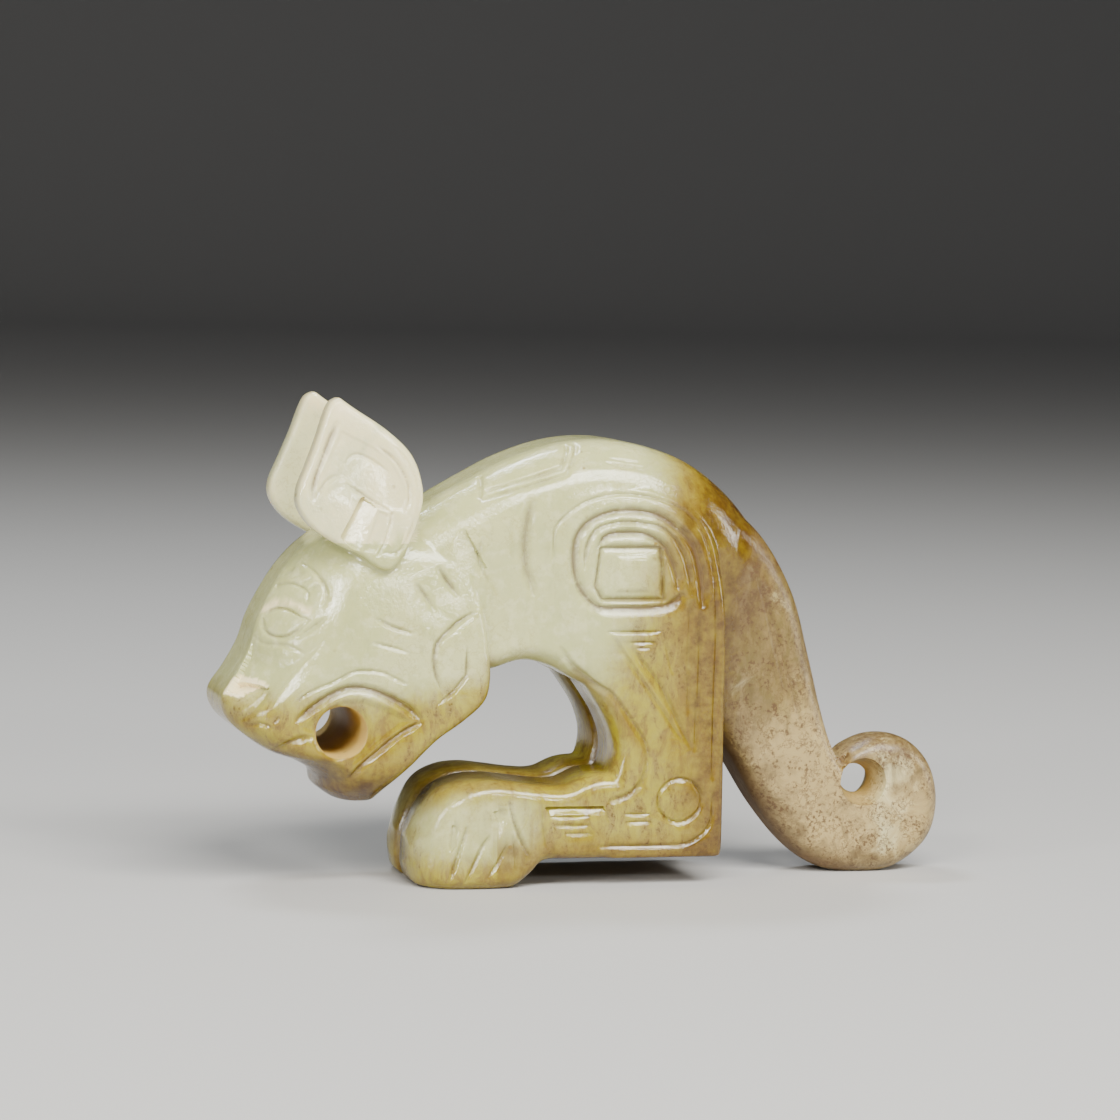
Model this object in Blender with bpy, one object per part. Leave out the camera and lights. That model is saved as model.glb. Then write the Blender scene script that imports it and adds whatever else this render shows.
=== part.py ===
"""Jade dragon carving, one closed faceted solid in metres, +Z up, resting on z = 0.

The head looks towards -X and the tail curls at +X. Every drawn point is (x, z) in millimetres
on the side view, at the drawn length, and is scaled to LENGTH. Both sides of the carving match.
"""
import math

import bmesh
import bpy
import numpy as np

# Driving sizes in millimetres
LENGTH = 64.0              # nose to tail curl
BODY_WIDTH = 14.4          # across the trunk, the legs and the feet
HAUNCH_WIDTH = 15.0        # across the two raised haunches
HEAD_WIDTH = 15.6          # across the cheeks
NECK_WIDTH = 13.0          # across the neck behind the cheeks
PAW_WIDTH = 15.0           # across the two front paws
TAIL_ROOT_WIDTH = 9.6      # tail thickness where it leaves the rump
TAIL_CURL_WIDTH = 5.6      # tail thickness at the curl
EAR_THICKNESS = 2.2
MOUTH_BORE = 4.3           # drilled straight through the mouth
TAIL_BORE_RIM = 4.2        # wide end of the tail hole, drilled from both sides
TAIL_BORE_THROAT = 2.5     # where the two cones of the tail hole meet
LINE_WIDTH = 0.95          # engraved line, from rim to rim
LINE_DEPTH = 0.42
GROOVE_WIDTH = 1.7         # groove between the left and the right leg
GROOVE_DEPTH = 0.95

# Drawing and mesh settings
DRAWN_LENGTH = 64.0
MIDDLE_X = 4.19            # the middle of the drawn length, which becomes the origin
VOXEL = 0.27               # mesh size while the forms are joined, in millimetres
TRIANGLES = 9300
MOUTH_CENTRE = (-18.5, 13.4)
TAIL_HOLE_CENTRE = (28.8, 8.0)
JADE = (0.56, 0.58, 0.40, 1.0)

SIZE = LENGTH / DRAWN_LENGTH
MM = 0.001


def clear_scene():
    for old in list(bpy.data.objects):
        bpy.data.objects.remove(old, do_unlink=True)


def smooth_line(points, steps):
    """Catmull-Rom curve through rows of numbers, ends included."""
    rows = np.asarray(points, float)
    padded = np.vstack([2 * rows[0] - rows[1], rows, 2 * rows[-1] - rows[-2]])
    out = []
    for i in range(len(rows) - 1):
        a, b, c, d = padded[i:i + 4]
        for k in range(steps):
            t = k / steps
            out.append(0.5 * (2 * b + (c - a) * t + (2 * a - 5 * b + 4 * c - d) * t * t
                              + (3 * b - a - 3 * c + d) * t ** 3))
    out.append(rows[-1])
    return np.array(out)


def station(front, back, width, front_round, back_round, power=2.0):
    """One section: its two ends on the side view, its full width, and how each end rounds over.

    A rounding is (along the section, across it); power below 2 gives a flatter, faceted corner.
    """
    return (*front, *back, width / 2, *front_round, *back_round, power)


def section(values):
    """The closed ring of a station, as x, y, z rows in drawn millimetres."""
    front, back = np.array(values[0:2]), np.array(values[2:4])
    half = values[4]
    length = np.linalg.norm(back - front)
    along = (back - front) / length
    power = max(values[9], 1.0)
    ends = []
    for reach, across in ((values[5], values[6]), (values[7], values[8])):
        reach, across = min(reach, 0.49 * length), min(across, 0.96 * half)
        shape = power if not ends else 2.0
        corner = []
        for angle in np.linspace(0, math.pi / 2, 7):
            corner.append((reach * (1 - math.cos(angle) ** (2 / shape)),
                           half - across * (1 - math.sin(angle) ** (2 / shape))))
        ends.append(corner)
    first = ends[0]
    last = [(length - s, y) for s, y in reversed(ends[1])]
    sides = np.linspace(first[-1], last[0], 6)[1:-1].tolist()
    row = [(0, 0), *first, *sides, *last, (length, 0)]
    loop = row + [(s, -y) for s, y in reversed(row[1:-1])]
    return np.array([(front[0] + along[0] * s, y, front[1] + along[1] * s) for s, y in loop])


def skin(rings):
    """Vertices and faces of a closed skin over rings of equal length."""
    count = len(rings[0])
    faces = [tuple(range(count)), tuple(range((len(rings) - 1) * count, len(rings) * count))[::-1]]
    for i in range(len(rings) - 1):
        for k in range(count):
            n = (k + 1) % count
            faces.append((i * count + k, (i + 1) * count + k, (i + 1) * count + n, i * count + n))
    return np.vstack(rings), faces


def loft(stations, steps=5):
    return skin([section(row) for row in smooth_line(stations, steps)])


def trunk():
    """Neck, back and belly, as sections that fan around the arch under the body."""
    top = (5.5, 4.6)
    under = (1.6, 2.0)
    return loft([
        station((-13.0, 20.0), (-15.5, 30.0), NECK_WIDTH - 1.0, under, top),
        station((-8.0, 17.8), (-11.5, 31.6), NECK_WIDTH, under, top),
        station((-5.4, 18.3), (-7.7, 33.7), NECK_WIDTH + 0.4, under, top),
        station((-2.8, 19.1), (-3.4, 35.9), BODY_WIDTH - 0.4, under, top),
        station((-0.4, 18.6), (1.2, 37.3), BODY_WIDTH, under, top),
        station((1.8, 17.4), (5.9, 37.4), BODY_WIDTH, under, top),
        station((4.2, 16.4), (11.3, 35.9), BODY_WIDTH - 0.2, under, top),
        station((6.5, 15.5), (15.4, 33.1), BODY_WIDTH - 1.2, under, top),
        station((9.0, 14.5), (18.9, 29.3), TAIL_ROOT_WIDTH + 0.3, under, (4.5, 3.8)),
    ])


def haunch_and_leg():
    """The raised haunch down to the heel, as level sections from the sole to the rump."""
    front, back = (1.5, 1.7), (0.7, 0.8)
    leg, haunch = BODY_WIDTH, HAUNCH_WIDTH
    return loft([
        station((4.0, 2.4), (14.5, 2.4), leg - 0.8, front, back),
        station((4.2, 3.0), (14.8, 3.0), leg, front, back),
        station((4.6, 8.0), (14.8, 8.0), leg, front, back),
        station((5.3, 11.3), (14.75, 12.0), leg, front, back),
        station((4.7, 13.8), (14.7, 16.0), leg, front, back),
        station((3.2, 16.2), (14.65, 20.0), leg + 0.2, front, back),
        station((0.9, 19.4), (14.4, 24.0), haunch, (2.4, 1.0), back),
        station((-0.6, 23.0), (13.9, 27.6), haunch, (2.4, 0.8), (1.4, 1.2)),
        station((-0.9, 27.0), (13.0, 30.4), haunch, (2.2, 0.6), (2.4, 1.4)),
        station((0.2, 30.6), (11.0, 32.4), haunch - 0.2, (2.4, 0.6), (2.6, 1.2)),
        station((2.6, 33.2), (8.0, 33.6), haunch - 0.8, (1.6, 0.6), (1.6, 0.8)),
    ])


def foot_and_paw():
    """Both feet as one block, cut apart later by the groove; upright sections, heel to toes."""
    sole, top, toe = (0.9, 0.9), (1.4, 1.6), (1.3, 1.7)
    foot, paw = BODY_WIDTH, PAW_WIDTH
    return loft([
        station((14.4, 2.6), (14.4, 8.6), foot - 0.8, sole, top),
        station((13.6, 2.4), (13.6, 9.0), foot, sole, top),
        station((4.6, 2.4), (4.6, 9.6), foot, sole, top),
        station((1.2, 2.4), (1.2, 8.6), foot, sole, top),
        station((-0.8, 2.3), (-0.8, 8.6), foot, sole, top),
        station((-2.0, 1.2), (-1.8, 8.7), foot + 0.2, sole, top),
        station((-3.4, 0.0), (-3.3, 8.9), paw - 0.3, toe, top),
        station((-5.5, -0.15), (-5.4, 9.1), paw, toe, top),
        station((-8.6, -0.15), (-7.6, 8.9), paw - 0.2, toe, (2.0, 2.0)),
        station((-10.4, 0.0), (-9.6, 8.0), paw - 1.4, (1.4, 1.7), (2.4, 2.2)),
        station((-11.4, 0.3), (-10.9, 6.2), paw - 3.4, (1.8, 1.8), (2.4, 2.4)),
        station((-11.9, 1.6), (-11.8, 3.9), paw - 6.4, (1.1, 2.0), (1.1, 2.0)),
    ])


def tail():
    """Flat tail that sweeps down from the rump and curls up around the tail hole."""
    root, curl = TAIL_ROOT_WIDTH, TAIL_CURL_WIDTH
    mid = (root + curl) / 2
    cx, cz = TAIL_HOLE_CENTRE
    stem = [
        station((7.0, 25.0), (14.4, 33.1), root + 2.6, (1.5, 1.5), (4.4, 3.6)),
        station((9.5, 20.5), (18.7, 29.5), root + 1.0, (1.8, 1.8), (3.6, 2.8)),
        station((12.2, 16.6), (21.7, 24.6), root, (2.0, 2.0), (2.8, 2.4)),
        station((14.7, 13.2), (23.6, 18.9), mid + 0.5, (2.0, 2.0), (2.4, 2.2)),
        station((17.1, 9.8), (24.9, 14.3), mid - 0.3, (1.8, 1.8), (2.2, 1.9)),
        station((19.6, 5.8), (26.2, 10.8), curl + 0.8, (1.8, 1.8), (1.6, 1.6)),
    ]
    outer = [(22.4, 2.4), (25.4, 0.4), (28.9, -0.15), (32.4, 0.35), (35.35, 2.7), (36.2, 6.0),
             (35.4, 9.3), (33.2, 11.5), (30.4, 11.9), (28.0, 11.0), (26.6, 9.7)]
    for x, z in outer:
        reach = math.hypot(x - cx, z - cz)
        inner = (cx + (x - cx) * 0.9 / reach, cz + (z - cz) * 0.9 / reach)
        stem.append(station((x, z), inner, curl, (2.0, 2.1), (0.6, 0.6)))
    return loft(stem)


def head():
    """Level sections from the chin to the crown; the face slants back to a ridge on each side."""
    wide = HEAD_WIDTH
    jaw = (1.1, 1.2)
    faceted = 1.5
    return loft([
        station((-18.1, 7.25), (-14.4, 7.25), wide - 6.6, (1.5, 4.0), (1.5, 4.0)),
        station((-19.3, 8.2), (-13.9, 8.2), wide - 3.2, (2.7, 5.4), (1.8, 4.0)),
        station((-19.5, 9.3), (-13.3, 9.3), wide - 1.2, (3.4, 5.6), (1.4, 2.2)),
        station((-21.6, 10.6), (-12.2, 10.6), wide - 0.2, (4.2, 5.6), (1.1, 1.4)),
        station((-23.9, 11.5), (-11.4, 11.5), wide, (3.8, 4.4), jaw),
        station((-25.9, 12.8), (-10.0, 12.8), wide, (3.4, 3.6), jaw, 1.8),
        station((-27.4, 14.2), (-8.0, 14.2), wide, (4.2, 4.2), jaw, 1.7),
        station((-27.8, 15.9), (-6.2, 15.9), wide, (5.0, 4.3), jaw, faceted),
        station((-26.6, 17.9), (-5.8, 17.9), wide, (5.8, 4.6), jaw, faceted),
        station((-25.5, 20.0), (-6.0, 20.0), wide, (6.2, 4.8), jaw, faceted),
        station((-24.85, 22.2), (-6.3, 22.2), wide - 0.2, (6.4, 5.0), jaw, faceted),
        station((-23.85, 24.3), (-6.7, 24.3), wide - 0.7, (6.4, 5.0), (1.4, 1.4), faceted),
        station((-22.6, 26.4), (-7.2, 26.4), wide - 1.6, (6.2, 5.0), (2.0, 2.0), 1.7),
        station((-20.9, 28.3), (-8.6, 28.3), wide - 3.2, (5.6, 4.6), (2.6, 2.4)),
        station((-18.8, 29.8), (-10.6, 29.8), wide - 5.8, (3.6, 3.4), (3.0, 2.8)),
        station((-16.8, 30.8), (-13.0, 30.8), wide - 9.0, (1.8, 2.6), (1.8, 2.4)),
    ])


def ear(side):
    """A thick leaf-shaped plate that leans in a little towards its tip."""
    outline = smooth_line([
        (-18.9, 40.9), (-19.8, 40.2), (-20.8, 37.4), (-21.7, 35.1), (-22.4, 33.3), (-22.35, 31.8),
        (-21.2, 30.2), (-19.2, 28.9), (-17.2, 28.0), (-15.7, 27.0), (-14.5, 26.9), (-13.2, 28.7),
        (-12.2, 31.1), (-11.85, 33.3), (-12.7, 36.1), (-14.8, 38.2), (-17.6, 40.0),
        (-18.9, 40.9)], 4)[:-1]
    centre = outline.mean(axis=0)
    rings = []
    for share, inset in ((0.0, 0.45), (0.14, 0.08), (0.36, 0.0), (0.64, 0.0), (0.86, 0.08),
                         (1.0, 0.45)):
        ring = []
        for x, z in outline:
            away = np.array((x, z)) - centre
            x, z = centre + away * (1 - inset / np.linalg.norm(away))
            face = 7.75 - 0.13 * (z - 28.0)
            ring.append((x, side * (face - EAR_THICKNESS * share), z))
        rings.append(np.array(ring))
    if side < 0:
        rings.reverse()
    return skin(rings)


def joined_forms():
    """All forms fused into one even skin by a voxel remesh, in metres at the real length."""
    vertices, faces, start = [], [], 0
    for points, polygons in (trunk(), haunch_and_leg(), foot_and_paw(), tail(), head(),
                             ear(-1), ear(1)):
        vertices.append(points)
        faces.extend(tuple(start + i for i in polygon) for polygon in polygons)
        start += len(points)
    points = np.vstack(vertices)
    points[:, 0] -= MIDDLE_X
    scale = np.array([SIZE, 1.0, SIZE]) * MM
    mesh = bpy.data.meshes.new("forms")
    mesh.from_pydata((points * scale).tolist(), [], faces)
    body = bpy.data.objects.new("forms", mesh)
    bpy.context.scene.collection.objects.link(body)
    shape = bmesh.new()
    shape.from_mesh(mesh)
    bmesh.ops.recalc_face_normals(shape, faces=shape.faces)
    shape.to_mesh(mesh)
    shape.free()
    remesh = body.modifiers.new("fuse", "REMESH")
    remesh.mode = "VOXEL"
    remesh.voxel_size = VOXEL * SIZE * MM
    ease = body.modifiers.new("ease", "SMOOTH")
    ease.factor = 0.5
    ease.iterations = 3
    return body


def evaluated(body):
    """A free mesh with the object's modifiers applied."""
    bpy.context.view_layer.update()
    graph = bpy.context.evaluated_depsgraph_get()
    return bpy.data.meshes.new_from_object(body.evaluated_get(graph))


def curve(*points):
    return smooth_line(points, 4)


def straight(*points):
    return np.array(points, float)


def ellipse(centre, wide, high, turn=0.0, start=0, end=360):
    """Part of a turned ellipse, as a line of points."""
    angles = np.radians(np.linspace(start, end, 25))
    lean = math.radians(turn)
    u, v = wide * np.cos(angles), high * np.sin(angles)
    return np.column_stack([centre[0] + u * math.cos(lean) - v * math.sin(lean),
                            centre[1] + u * math.sin(lean) + v * math.cos(lean)])


def engraved_lines():
    """Engraved lines on each side: (line, share of LINE_WIDTH, share of LINE_DEPTH)."""
    lines = [
        (curve((-0.7, 27.7), (-0.6, 29.8), (0.5, 31.6), (2.6, 32.8), (5.9, 33.2), (9.2, 32.6),
               (11.7, 30.6), (12.9, 28.0), (13.4, 24.3), (13.5, 18.0), (13.5, 9.0)), 0.9, 0.8),
        (curve((9.9, 24.0), (8.8, 23.3), (4.2, 23.1), (2.0, 24.2), (1.0, 27.0), (1.5, 30.2),
               (4.6, 31.8), (8.3, 31.4), (11.2, 28.9), (12.2, 25.1), (12.3, 23.6)), 1.05, 1.1),
        (curve((2.2, 27.6), (3.0, 30.0), (5.4, 30.5), (8.3, 30.1), (10.2, 27.6), (10.7, 24.9)),
         0.85, 0.9),
        (straight((3.3, 28.6), (8.6, 28.6), (8.8, 24.3), (3.4, 24.3), (3.1, 26.5), (3.3, 28.6)),
         0.85, 1.0),
        (straight((4.2, 21.6), (8.6, 21.6)), 0.8, 0.9),
        (straight((5.9, 20.5), (8.2, 20.5)), 0.7, 0.7),
        (straight((4.6, 21.2), (8.8, 15.4), (10.9, 12.4)), 0.8, 0.8),
        (straight((6.6, 20.2), (11.6, 11.9)), 0.8, 0.8),
        (straight((11.7, 23.5), (11.9, 12.0)), 0.8, 0.8),
        (curve((0.0, 20.4), (1.6, 18.5), (4.4, 16.7), (6.6, 14.0), (7.8, 11.6), (7.2, 9.0),
               (5.2, 7.4)), 1.1, 0.8),
        (ellipse((10.8, 7.3), 1.9, 1.85), 0.8, 0.9),
        (curve((13.6, 6.6), (13.2, 4.8), (11.9, 3.9), (9.6, 3.6), (3.8, 3.6)), 0.9, 0.9),
        (straight((-1.0, 6.9), (4.2, 6.8), (4.6, 5.6)), 0.9, 1.0),
        (straight((-0.4, 5.4), (3.0, 5.4)), 0.7, 0.8),
        (straight((5.9, 6.2), (8.3, 6.2)), 0.7, 0.8),
        (curve((-4.0, 7.3), (-3.3, 5.2), (-2.2, 2.8)), 0.9, 1.0),
        (curve((-8.0, 4.8), (-8.5, 2.7), (-9.1, 0.5)), 0.9, 1.1),
        (curve((-6.3, 3.7), (-7.6, 0.5)), 0.9, 1.1),
        (curve((-4.1, 3.8), (-5.8, 0.7)), 0.9, 1.1),
        (curve((-6.7, 29.2), (-6.8, 27.5), (-6.1, 25.7)), 0.8, 0.7),
        (curve((-2.5, 32.6), (-2.9, 30.1), (-2.8, 27.5), (-2.0, 24.9)), 1.4, 0.9),
        (straight((-6.6, 32.7), (0.5, 35.2), (1.6, 36.8)), 0.9, 0.9),
        (straight((-6.5, 32.9), (-6.2, 34.6)), 0.8, 0.8),
        (straight((4.1, 35.6), (7.2, 35.1), (8.5, 35.8)), 0.8, 0.8),
        (straight((-10.5, 26.9), (-9.0, 24.8)), 0.9, 1.1),
        (straight((-12.4, 25.5), (-10.8, 23.6)), 0.9, 1.1),
        (straight((-15.7, 22.6), (-12.8, 21.7)), 0.9, 1.0),
        (straight((-15.8, 20.8), (-13.1, 20.0)), 0.8, 0.9),
        (curve((-7.5, 23.1), (-9.7, 21.7), (-10.8, 20.3), (-10.8, 18.3), (-10.3, 16.4)), 0.9, 1.0),
        (straight((-8.2, 20.5), (-8.2, 18.2), (-10.3, 15.9)), 0.8, 0.8),
        (curve((-24.2, 14.4), (-21.5, 16.7), (-19.6, 17.6), (-17.3, 18.6), (-14.5, 18.0),
               (-13.1, 17.3)), 0.8, 0.7),
        (curve((-21.6, 15.0), (-19.3, 16.7), (-17.7, 17.1), (-16.1, 16.9), (-14.2, 16.0),
               (-11.8, 14.4)), 1.3, 1.3),
        (curve((-11.8, 14.4), (-13.9, 13.2), (-15.9, 11.4), (-17.3, 9.9)), 1.1, 1.2),
        (curve((-24.5, 22.7), (-23.9, 23.4), (-22.8, 23.6), (-21.7, 23.0), (-20.6, 22.8)), 0.9, 1.3),
        (curve((-24.5, 22.4), (-24.2, 21.4), (-23.1, 21.1), (-22.0, 21.8), (-20.2, 22.8)), 0.8, 1.1),
        (curve((-25.1, 21.0), (-24.4, 20.5), (-23.1, 20.6), (-21.7, 19.9)), 0.8, 0.7),
        (curve((-21.6, 27.1), (-20.6, 26.5), (-19.9, 25.4), (-19.8, 24.5), (-20.2, 23.7)), 0.9, 1.0),
        (curve((-23.9, 24.3), (-23.3, 25.1), (-22.2, 25.4), (-21.3, 24.8), (-21.3, 24.0)), 0.8, 0.8),
        (straight((-27.4, 16.9), (-26.2, 17.2), (-24.6, 17.0)), 1.3, 1.4),
        (straight((-23.9, 11.8), (-22.2, 12.8), (-20.9, 13.1)), 1.0, 1.0),
        (straight((17.8, 26.0), (19.9, 19.7), (21.8, 14.6)), 1.0, 0.8),
        (straight((26.3, 11.2), (27.3, 9.6)), 1.6, 1.2),
    ]
    return lines


def ear_lines():
    """Engraved lines on the outer face of each ear."""
    return [
        (curve((-18.9, 38.6), (-20.0, 35.6), (-21.0, 33.0), (-20.0, 33.6)), 0.9, 1.0),
        (curve((-15.6, 37.0), (-14.2, 35.6), (-13.3, 33.4), (-13.5, 31.2), (-14.9, 29.4)), 0.9, 1.0),
        (straight((-18.6, 34.1), (-16.9, 32.7), (-14.7, 31.3)), 1.0, 1.2),
        (straight((-17.1, 32.7), (-18.5, 29.6)), 0.9, 1.0),
        (curve((-18.3, 35.2), (-17.8, 36.1), (-16.7, 36.1), (-15.3, 34.8)), 0.8, 0.8),
    ]


def distance_to(line, points):
    """Distance from each side-view point to a broken line."""
    best = np.full(len(points), np.inf)
    for a, b in zip(line[:-1], line[1:]):
        run = b - a
        t = np.clip(((points - a) @ run) / max(run @ run, 1e-12), 0, 1)
        best = np.minimum(best, np.hypot(*(points - a - t[:, None] * run).T))
    return best


def rounded_cut(share):
    """Depth share of a round-bottomed cut at a share of its half width from its centre line."""
    return np.clip(1 - share ** 2, 0, None) ** 1.5


def carve(mesh):
    """Moves the vertices of the fused skin in along their normals to cut lines and the groove."""
    count = len(mesh.vertices)
    places = np.empty(count * 3)
    normals = np.empty(count * 3)
    mesh.vertices.foreach_get("co", places)
    mesh.vertex_normals.foreach_get("vector", normals)
    places = places.reshape(-1, 3)
    normals = normals.reshape(-1, 3)
    x = places[:, 0] / MM / SIZE + MIDDLE_X
    y = places[:, 1] / MM
    z = places[:, 2] / MM / SIZE
    flat = np.column_stack([x, z])
    outward = normals[:, 1] * np.sign(y)

    on_ear = (z > 27.0) & (distance_to(straight((-20.0, 34.0), (-15.0, 31.0)), flat) < 6.6)
    on_ear &= (np.abs(y) > 3.6) & (outward > 0.8) & (z > 27.0 - 1.2 * (x + 17.0).clip(None, 0))
    depth = np.zeros(count)
    for lines, area in ((engraved_lines(), (outward > 0.3) & ~(on_ear & (z > 30.0))),
                        (ear_lines(), on_ear)):
        for line, wide, deep in lines:
            half = LINE_WIDTH * wide / 2
            near = distance_to(line, flat) / half
            cut = LINE_DEPTH * deep * rounded_cut(near)
            depth = np.where(area, np.maximum(depth, cut), depth)

    boss = np.maximum(np.abs(x - 6.2) / 1.7, np.abs(z - 26.5) / 1.6)
    depth -= np.where(outward > 0.5, 0.5 * np.clip(1 - boss, 0, 1), 0)
    eye = np.hypot((x + 22.9) / 1.5, (z - 22.3) / 0.85)
    depth -= np.where(outward > 0.3, 0.35 * np.clip(1 - eye ** 2, 0, 1), 0)

    between_legs = curve((-3.0, 0.0), (-7.0, 0.0), (-10.6, 0.2), (-11.8, 2.6), (-11.0, 6.0),
                         (-8.0, 8.8), (-4.0, 9.0), (1.0, 8.6), (4.4, 9.9), (5.3, 11.6),
                         (4.2, 14.2), (2.6, 16.0))
    reach = distance_to(between_legs, flat)
    fade = np.clip((2.4 - reach) / 1.2, 0, 1)
    groove = GROOVE_DEPTH * rounded_cut(np.abs(y) / (GROOVE_WIDTH / 2)) * fade
    depth = np.maximum(depth, groove)

    places -= normals * depth[:, None] * MM
    mesh.vertices.foreach_set("co", places.ravel())
    mesh.update()


def flat_soles(mesh):
    """Cuts the paws and the tail curl off flat on z = 0, so that the carving stands on them."""
    shape = bmesh.new()
    shape.from_mesh(mesh)
    everything = list(shape.verts) + list(shape.edges) + list(shape.faces)
    cut = bmesh.ops.bisect_plane(shape, geom=everything, dist=0.00002, plane_co=(0, 0, 0),
                                 plane_no=(0, 0, 1), clear_inner=True)
    rims = [item for item in cut["geom_cut"] if isinstance(item, bmesh.types.BMEdge)]
    bmesh.ops.holes_fill(shape, edges=rims, sides=0)
    bmesh.ops.triangulate(shape, faces=shape.faces[:])
    shape.to_mesh(mesh)
    shape.free()


def thinned(mesh):
    """The carved skin brought down to the triangle count of the solid."""
    body = bpy.data.objects.new("carved", mesh)
    bpy.context.scene.collection.objects.link(body)
    thin = body.modifiers.new("thin", "DECIMATE")
    thin.ratio = TRIANGLES / len(mesh.polygons)
    light = evaluated(body)
    bpy.data.objects.remove(body)
    for vertex in light.vertices:
        if abs(vertex.co.z) < 0.00003:
            vertex.co.z = 0
    return light


def cutter(name, centre, radii):
    """A turned cutter along Y; radii are (y, radius) pairs in millimetres."""
    shape = bmesh.new()
    middle_x, middle_z = (centre[0] - MIDDLE_X) * SIZE, centre[1] * SIZE
    rings = []
    for y, radius in radii:
        ring = []
        for k in range(32):
            angle = 2 * math.pi * (k + 0.5) / 32
            x = middle_x + radius * math.cos(angle)
            z = middle_z + radius * math.sin(angle)
            ring.append(shape.verts.new((x * MM, y * MM, z * MM)))
        rings.append(ring)
    for one, two in zip(rings[:-1], rings[1:]):
        bmesh.ops.bridge_loops(shape, edges=ring_edges(shape, one) + ring_edges(shape, two))
    shape.faces.new(rings[0])
    shape.faces.new(rings[-1])
    bmesh.ops.recalc_face_normals(shape, faces=shape.faces)
    mesh = bpy.data.meshes.new(name)
    shape.to_mesh(mesh)
    shape.free()
    body = bpy.data.objects.new(name, mesh)
    bpy.context.scene.collection.objects.link(body)
    body.display_type = "WIRE"
    body.hide_render = True
    return body


def ring_edges(shape, ring):
    edges = []
    for one, two in zip(ring, ring[1:] + ring[:1]):
        edge = shape.edges.get((one, two))
        edges.append(edge or shape.edges.new((one, two)))
    return edges


def drilled(mesh):
    """The carving with its mouth bore and its tail hole, as a plain mesh."""
    body = bpy.data.objects.new("drilled", mesh)
    bpy.context.scene.collection.objects.link(body)
    mouth = MOUTH_BORE / 2
    past = HEAD_WIDTH
    curl = TAIL_CURL_WIDTH / 2
    rim, throat = TAIL_BORE_RIM / 2, TAIL_BORE_THROAT / 2
    slope = (rim - throat) / curl
    wide = rim + slope * curl
    cutters = [
        cutter("mouth_drill", MOUTH_CENTRE, [(-past, mouth), (past, mouth)]),
        cutter("tail_drill", TAIL_HOLE_CENTRE, [(-2 * curl, wide), (0, throat), (2 * curl, wide)]),
    ]
    for tool in cutters:
        cut = body.modifiers.new(tool.name, "BOOLEAN")
        cut.operation = "DIFFERENCE"
        cut.solver = "EXACT"
        cut.object = tool
    done = evaluated(body)
    for old in [body, *cutters]:
        bpy.data.objects.remove(old)
    return done


def tidy(mesh):
    """Removes needle triangles that the cuts leave, and keeps only triangles."""
    shape = bmesh.new()
    shape.from_mesh(mesh)
    bmesh.ops.remove_doubles(shape, verts=shape.verts, dist=0.00002)
    bmesh.ops.dissolve_degenerate(shape, edges=shape.edges, dist=0.00001)
    bmesh.ops.triangulate(shape, faces=shape.faces[:])
    bmesh.ops.recalc_face_normals(shape, faces=shape.faces)
    shape.to_mesh(mesh)
    shape.free()


def jade():
    material = bpy.data.materials.new("jade")
    material.use_nodes = True
    shader = material.node_tree.nodes["Principled BSDF"]
    shader.inputs["Base Color"].default_value = JADE
    shader.inputs["Roughness"].default_value = 0.22
    shader.inputs["Metallic"].default_value = 0.0
    return material


def main():
    clear_scene()
    forms = joined_forms()
    mesh = evaluated(forms)
    bpy.data.objects.remove(forms)
    carve(mesh)
    flat_soles(mesh)
    mesh = drilled(thinned(mesh))
    tidy(mesh)
    mesh.materials.clear()
    mesh.materials.append(jade())
    mesh.name = "jade_dragon_carving"
    carving = bpy.data.objects.new("jade_dragon_carving", mesh)
    bpy.context.scene.collection.objects.link(carving)


if __name__ == "__main__":
    main()
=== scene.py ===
"""Dressed model of a polished jade dragon carving, laid out as an add-on and run as a script.

The carving is one piece. Every drawn point is (x, z) in millimetres on its side view, head at -X.
"""
import math

import bmesh
import bpy
import numpy as np
from bpy.props import FloatProperty, FloatVectorProperty, IntProperty, PointerProperty
from mathutils import Color, Matrix, Vector


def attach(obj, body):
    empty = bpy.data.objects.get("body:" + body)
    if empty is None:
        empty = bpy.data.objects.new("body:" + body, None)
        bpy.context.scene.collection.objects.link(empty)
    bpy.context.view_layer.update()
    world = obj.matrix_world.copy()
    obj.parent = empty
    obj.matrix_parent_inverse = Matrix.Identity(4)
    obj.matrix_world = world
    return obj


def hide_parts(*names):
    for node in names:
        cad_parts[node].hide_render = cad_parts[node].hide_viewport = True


bl_info = {
    "name": "Jade Dragon Carving",
    "version": (1, 0, 0),
    "blender": (4, 5, 0),
    "location": "3D View > Sidebar > Carving",
    "description": "Builds a polished jade dragon carving with engraved lines and stained stone",
    "category": "Object",
}

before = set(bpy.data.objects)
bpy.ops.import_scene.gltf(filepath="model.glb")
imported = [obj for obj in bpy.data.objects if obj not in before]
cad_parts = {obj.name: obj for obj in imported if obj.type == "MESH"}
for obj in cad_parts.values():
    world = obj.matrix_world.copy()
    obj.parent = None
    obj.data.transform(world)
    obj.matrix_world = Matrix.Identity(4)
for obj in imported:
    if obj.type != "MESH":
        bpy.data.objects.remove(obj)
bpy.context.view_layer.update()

NODE = "jade_dragon_carving"
MM = 0.001
MIDDLE_X = 4.19                    # the drawn x that stands at the origin
MOUTH_CENTRE = (-18.5, 13.4)
TAIL_HOLE_CENTRE = (28.8, 8.0)
HAUNCH_CENTRE = (6.15, 26.5)
SHARP_ANGLE = math.radians(48)     # edges steeper than this are shaded sharp


def measure(name, description, metres, **more):
    return FloatProperty(name=name, description=description, default=metres, unit="LENGTH",
                         **more)


def tint(name, description, colour):
    return FloatVectorProperty(name=name, description=description, default=colour,
                               subtype="COLOR")


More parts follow.
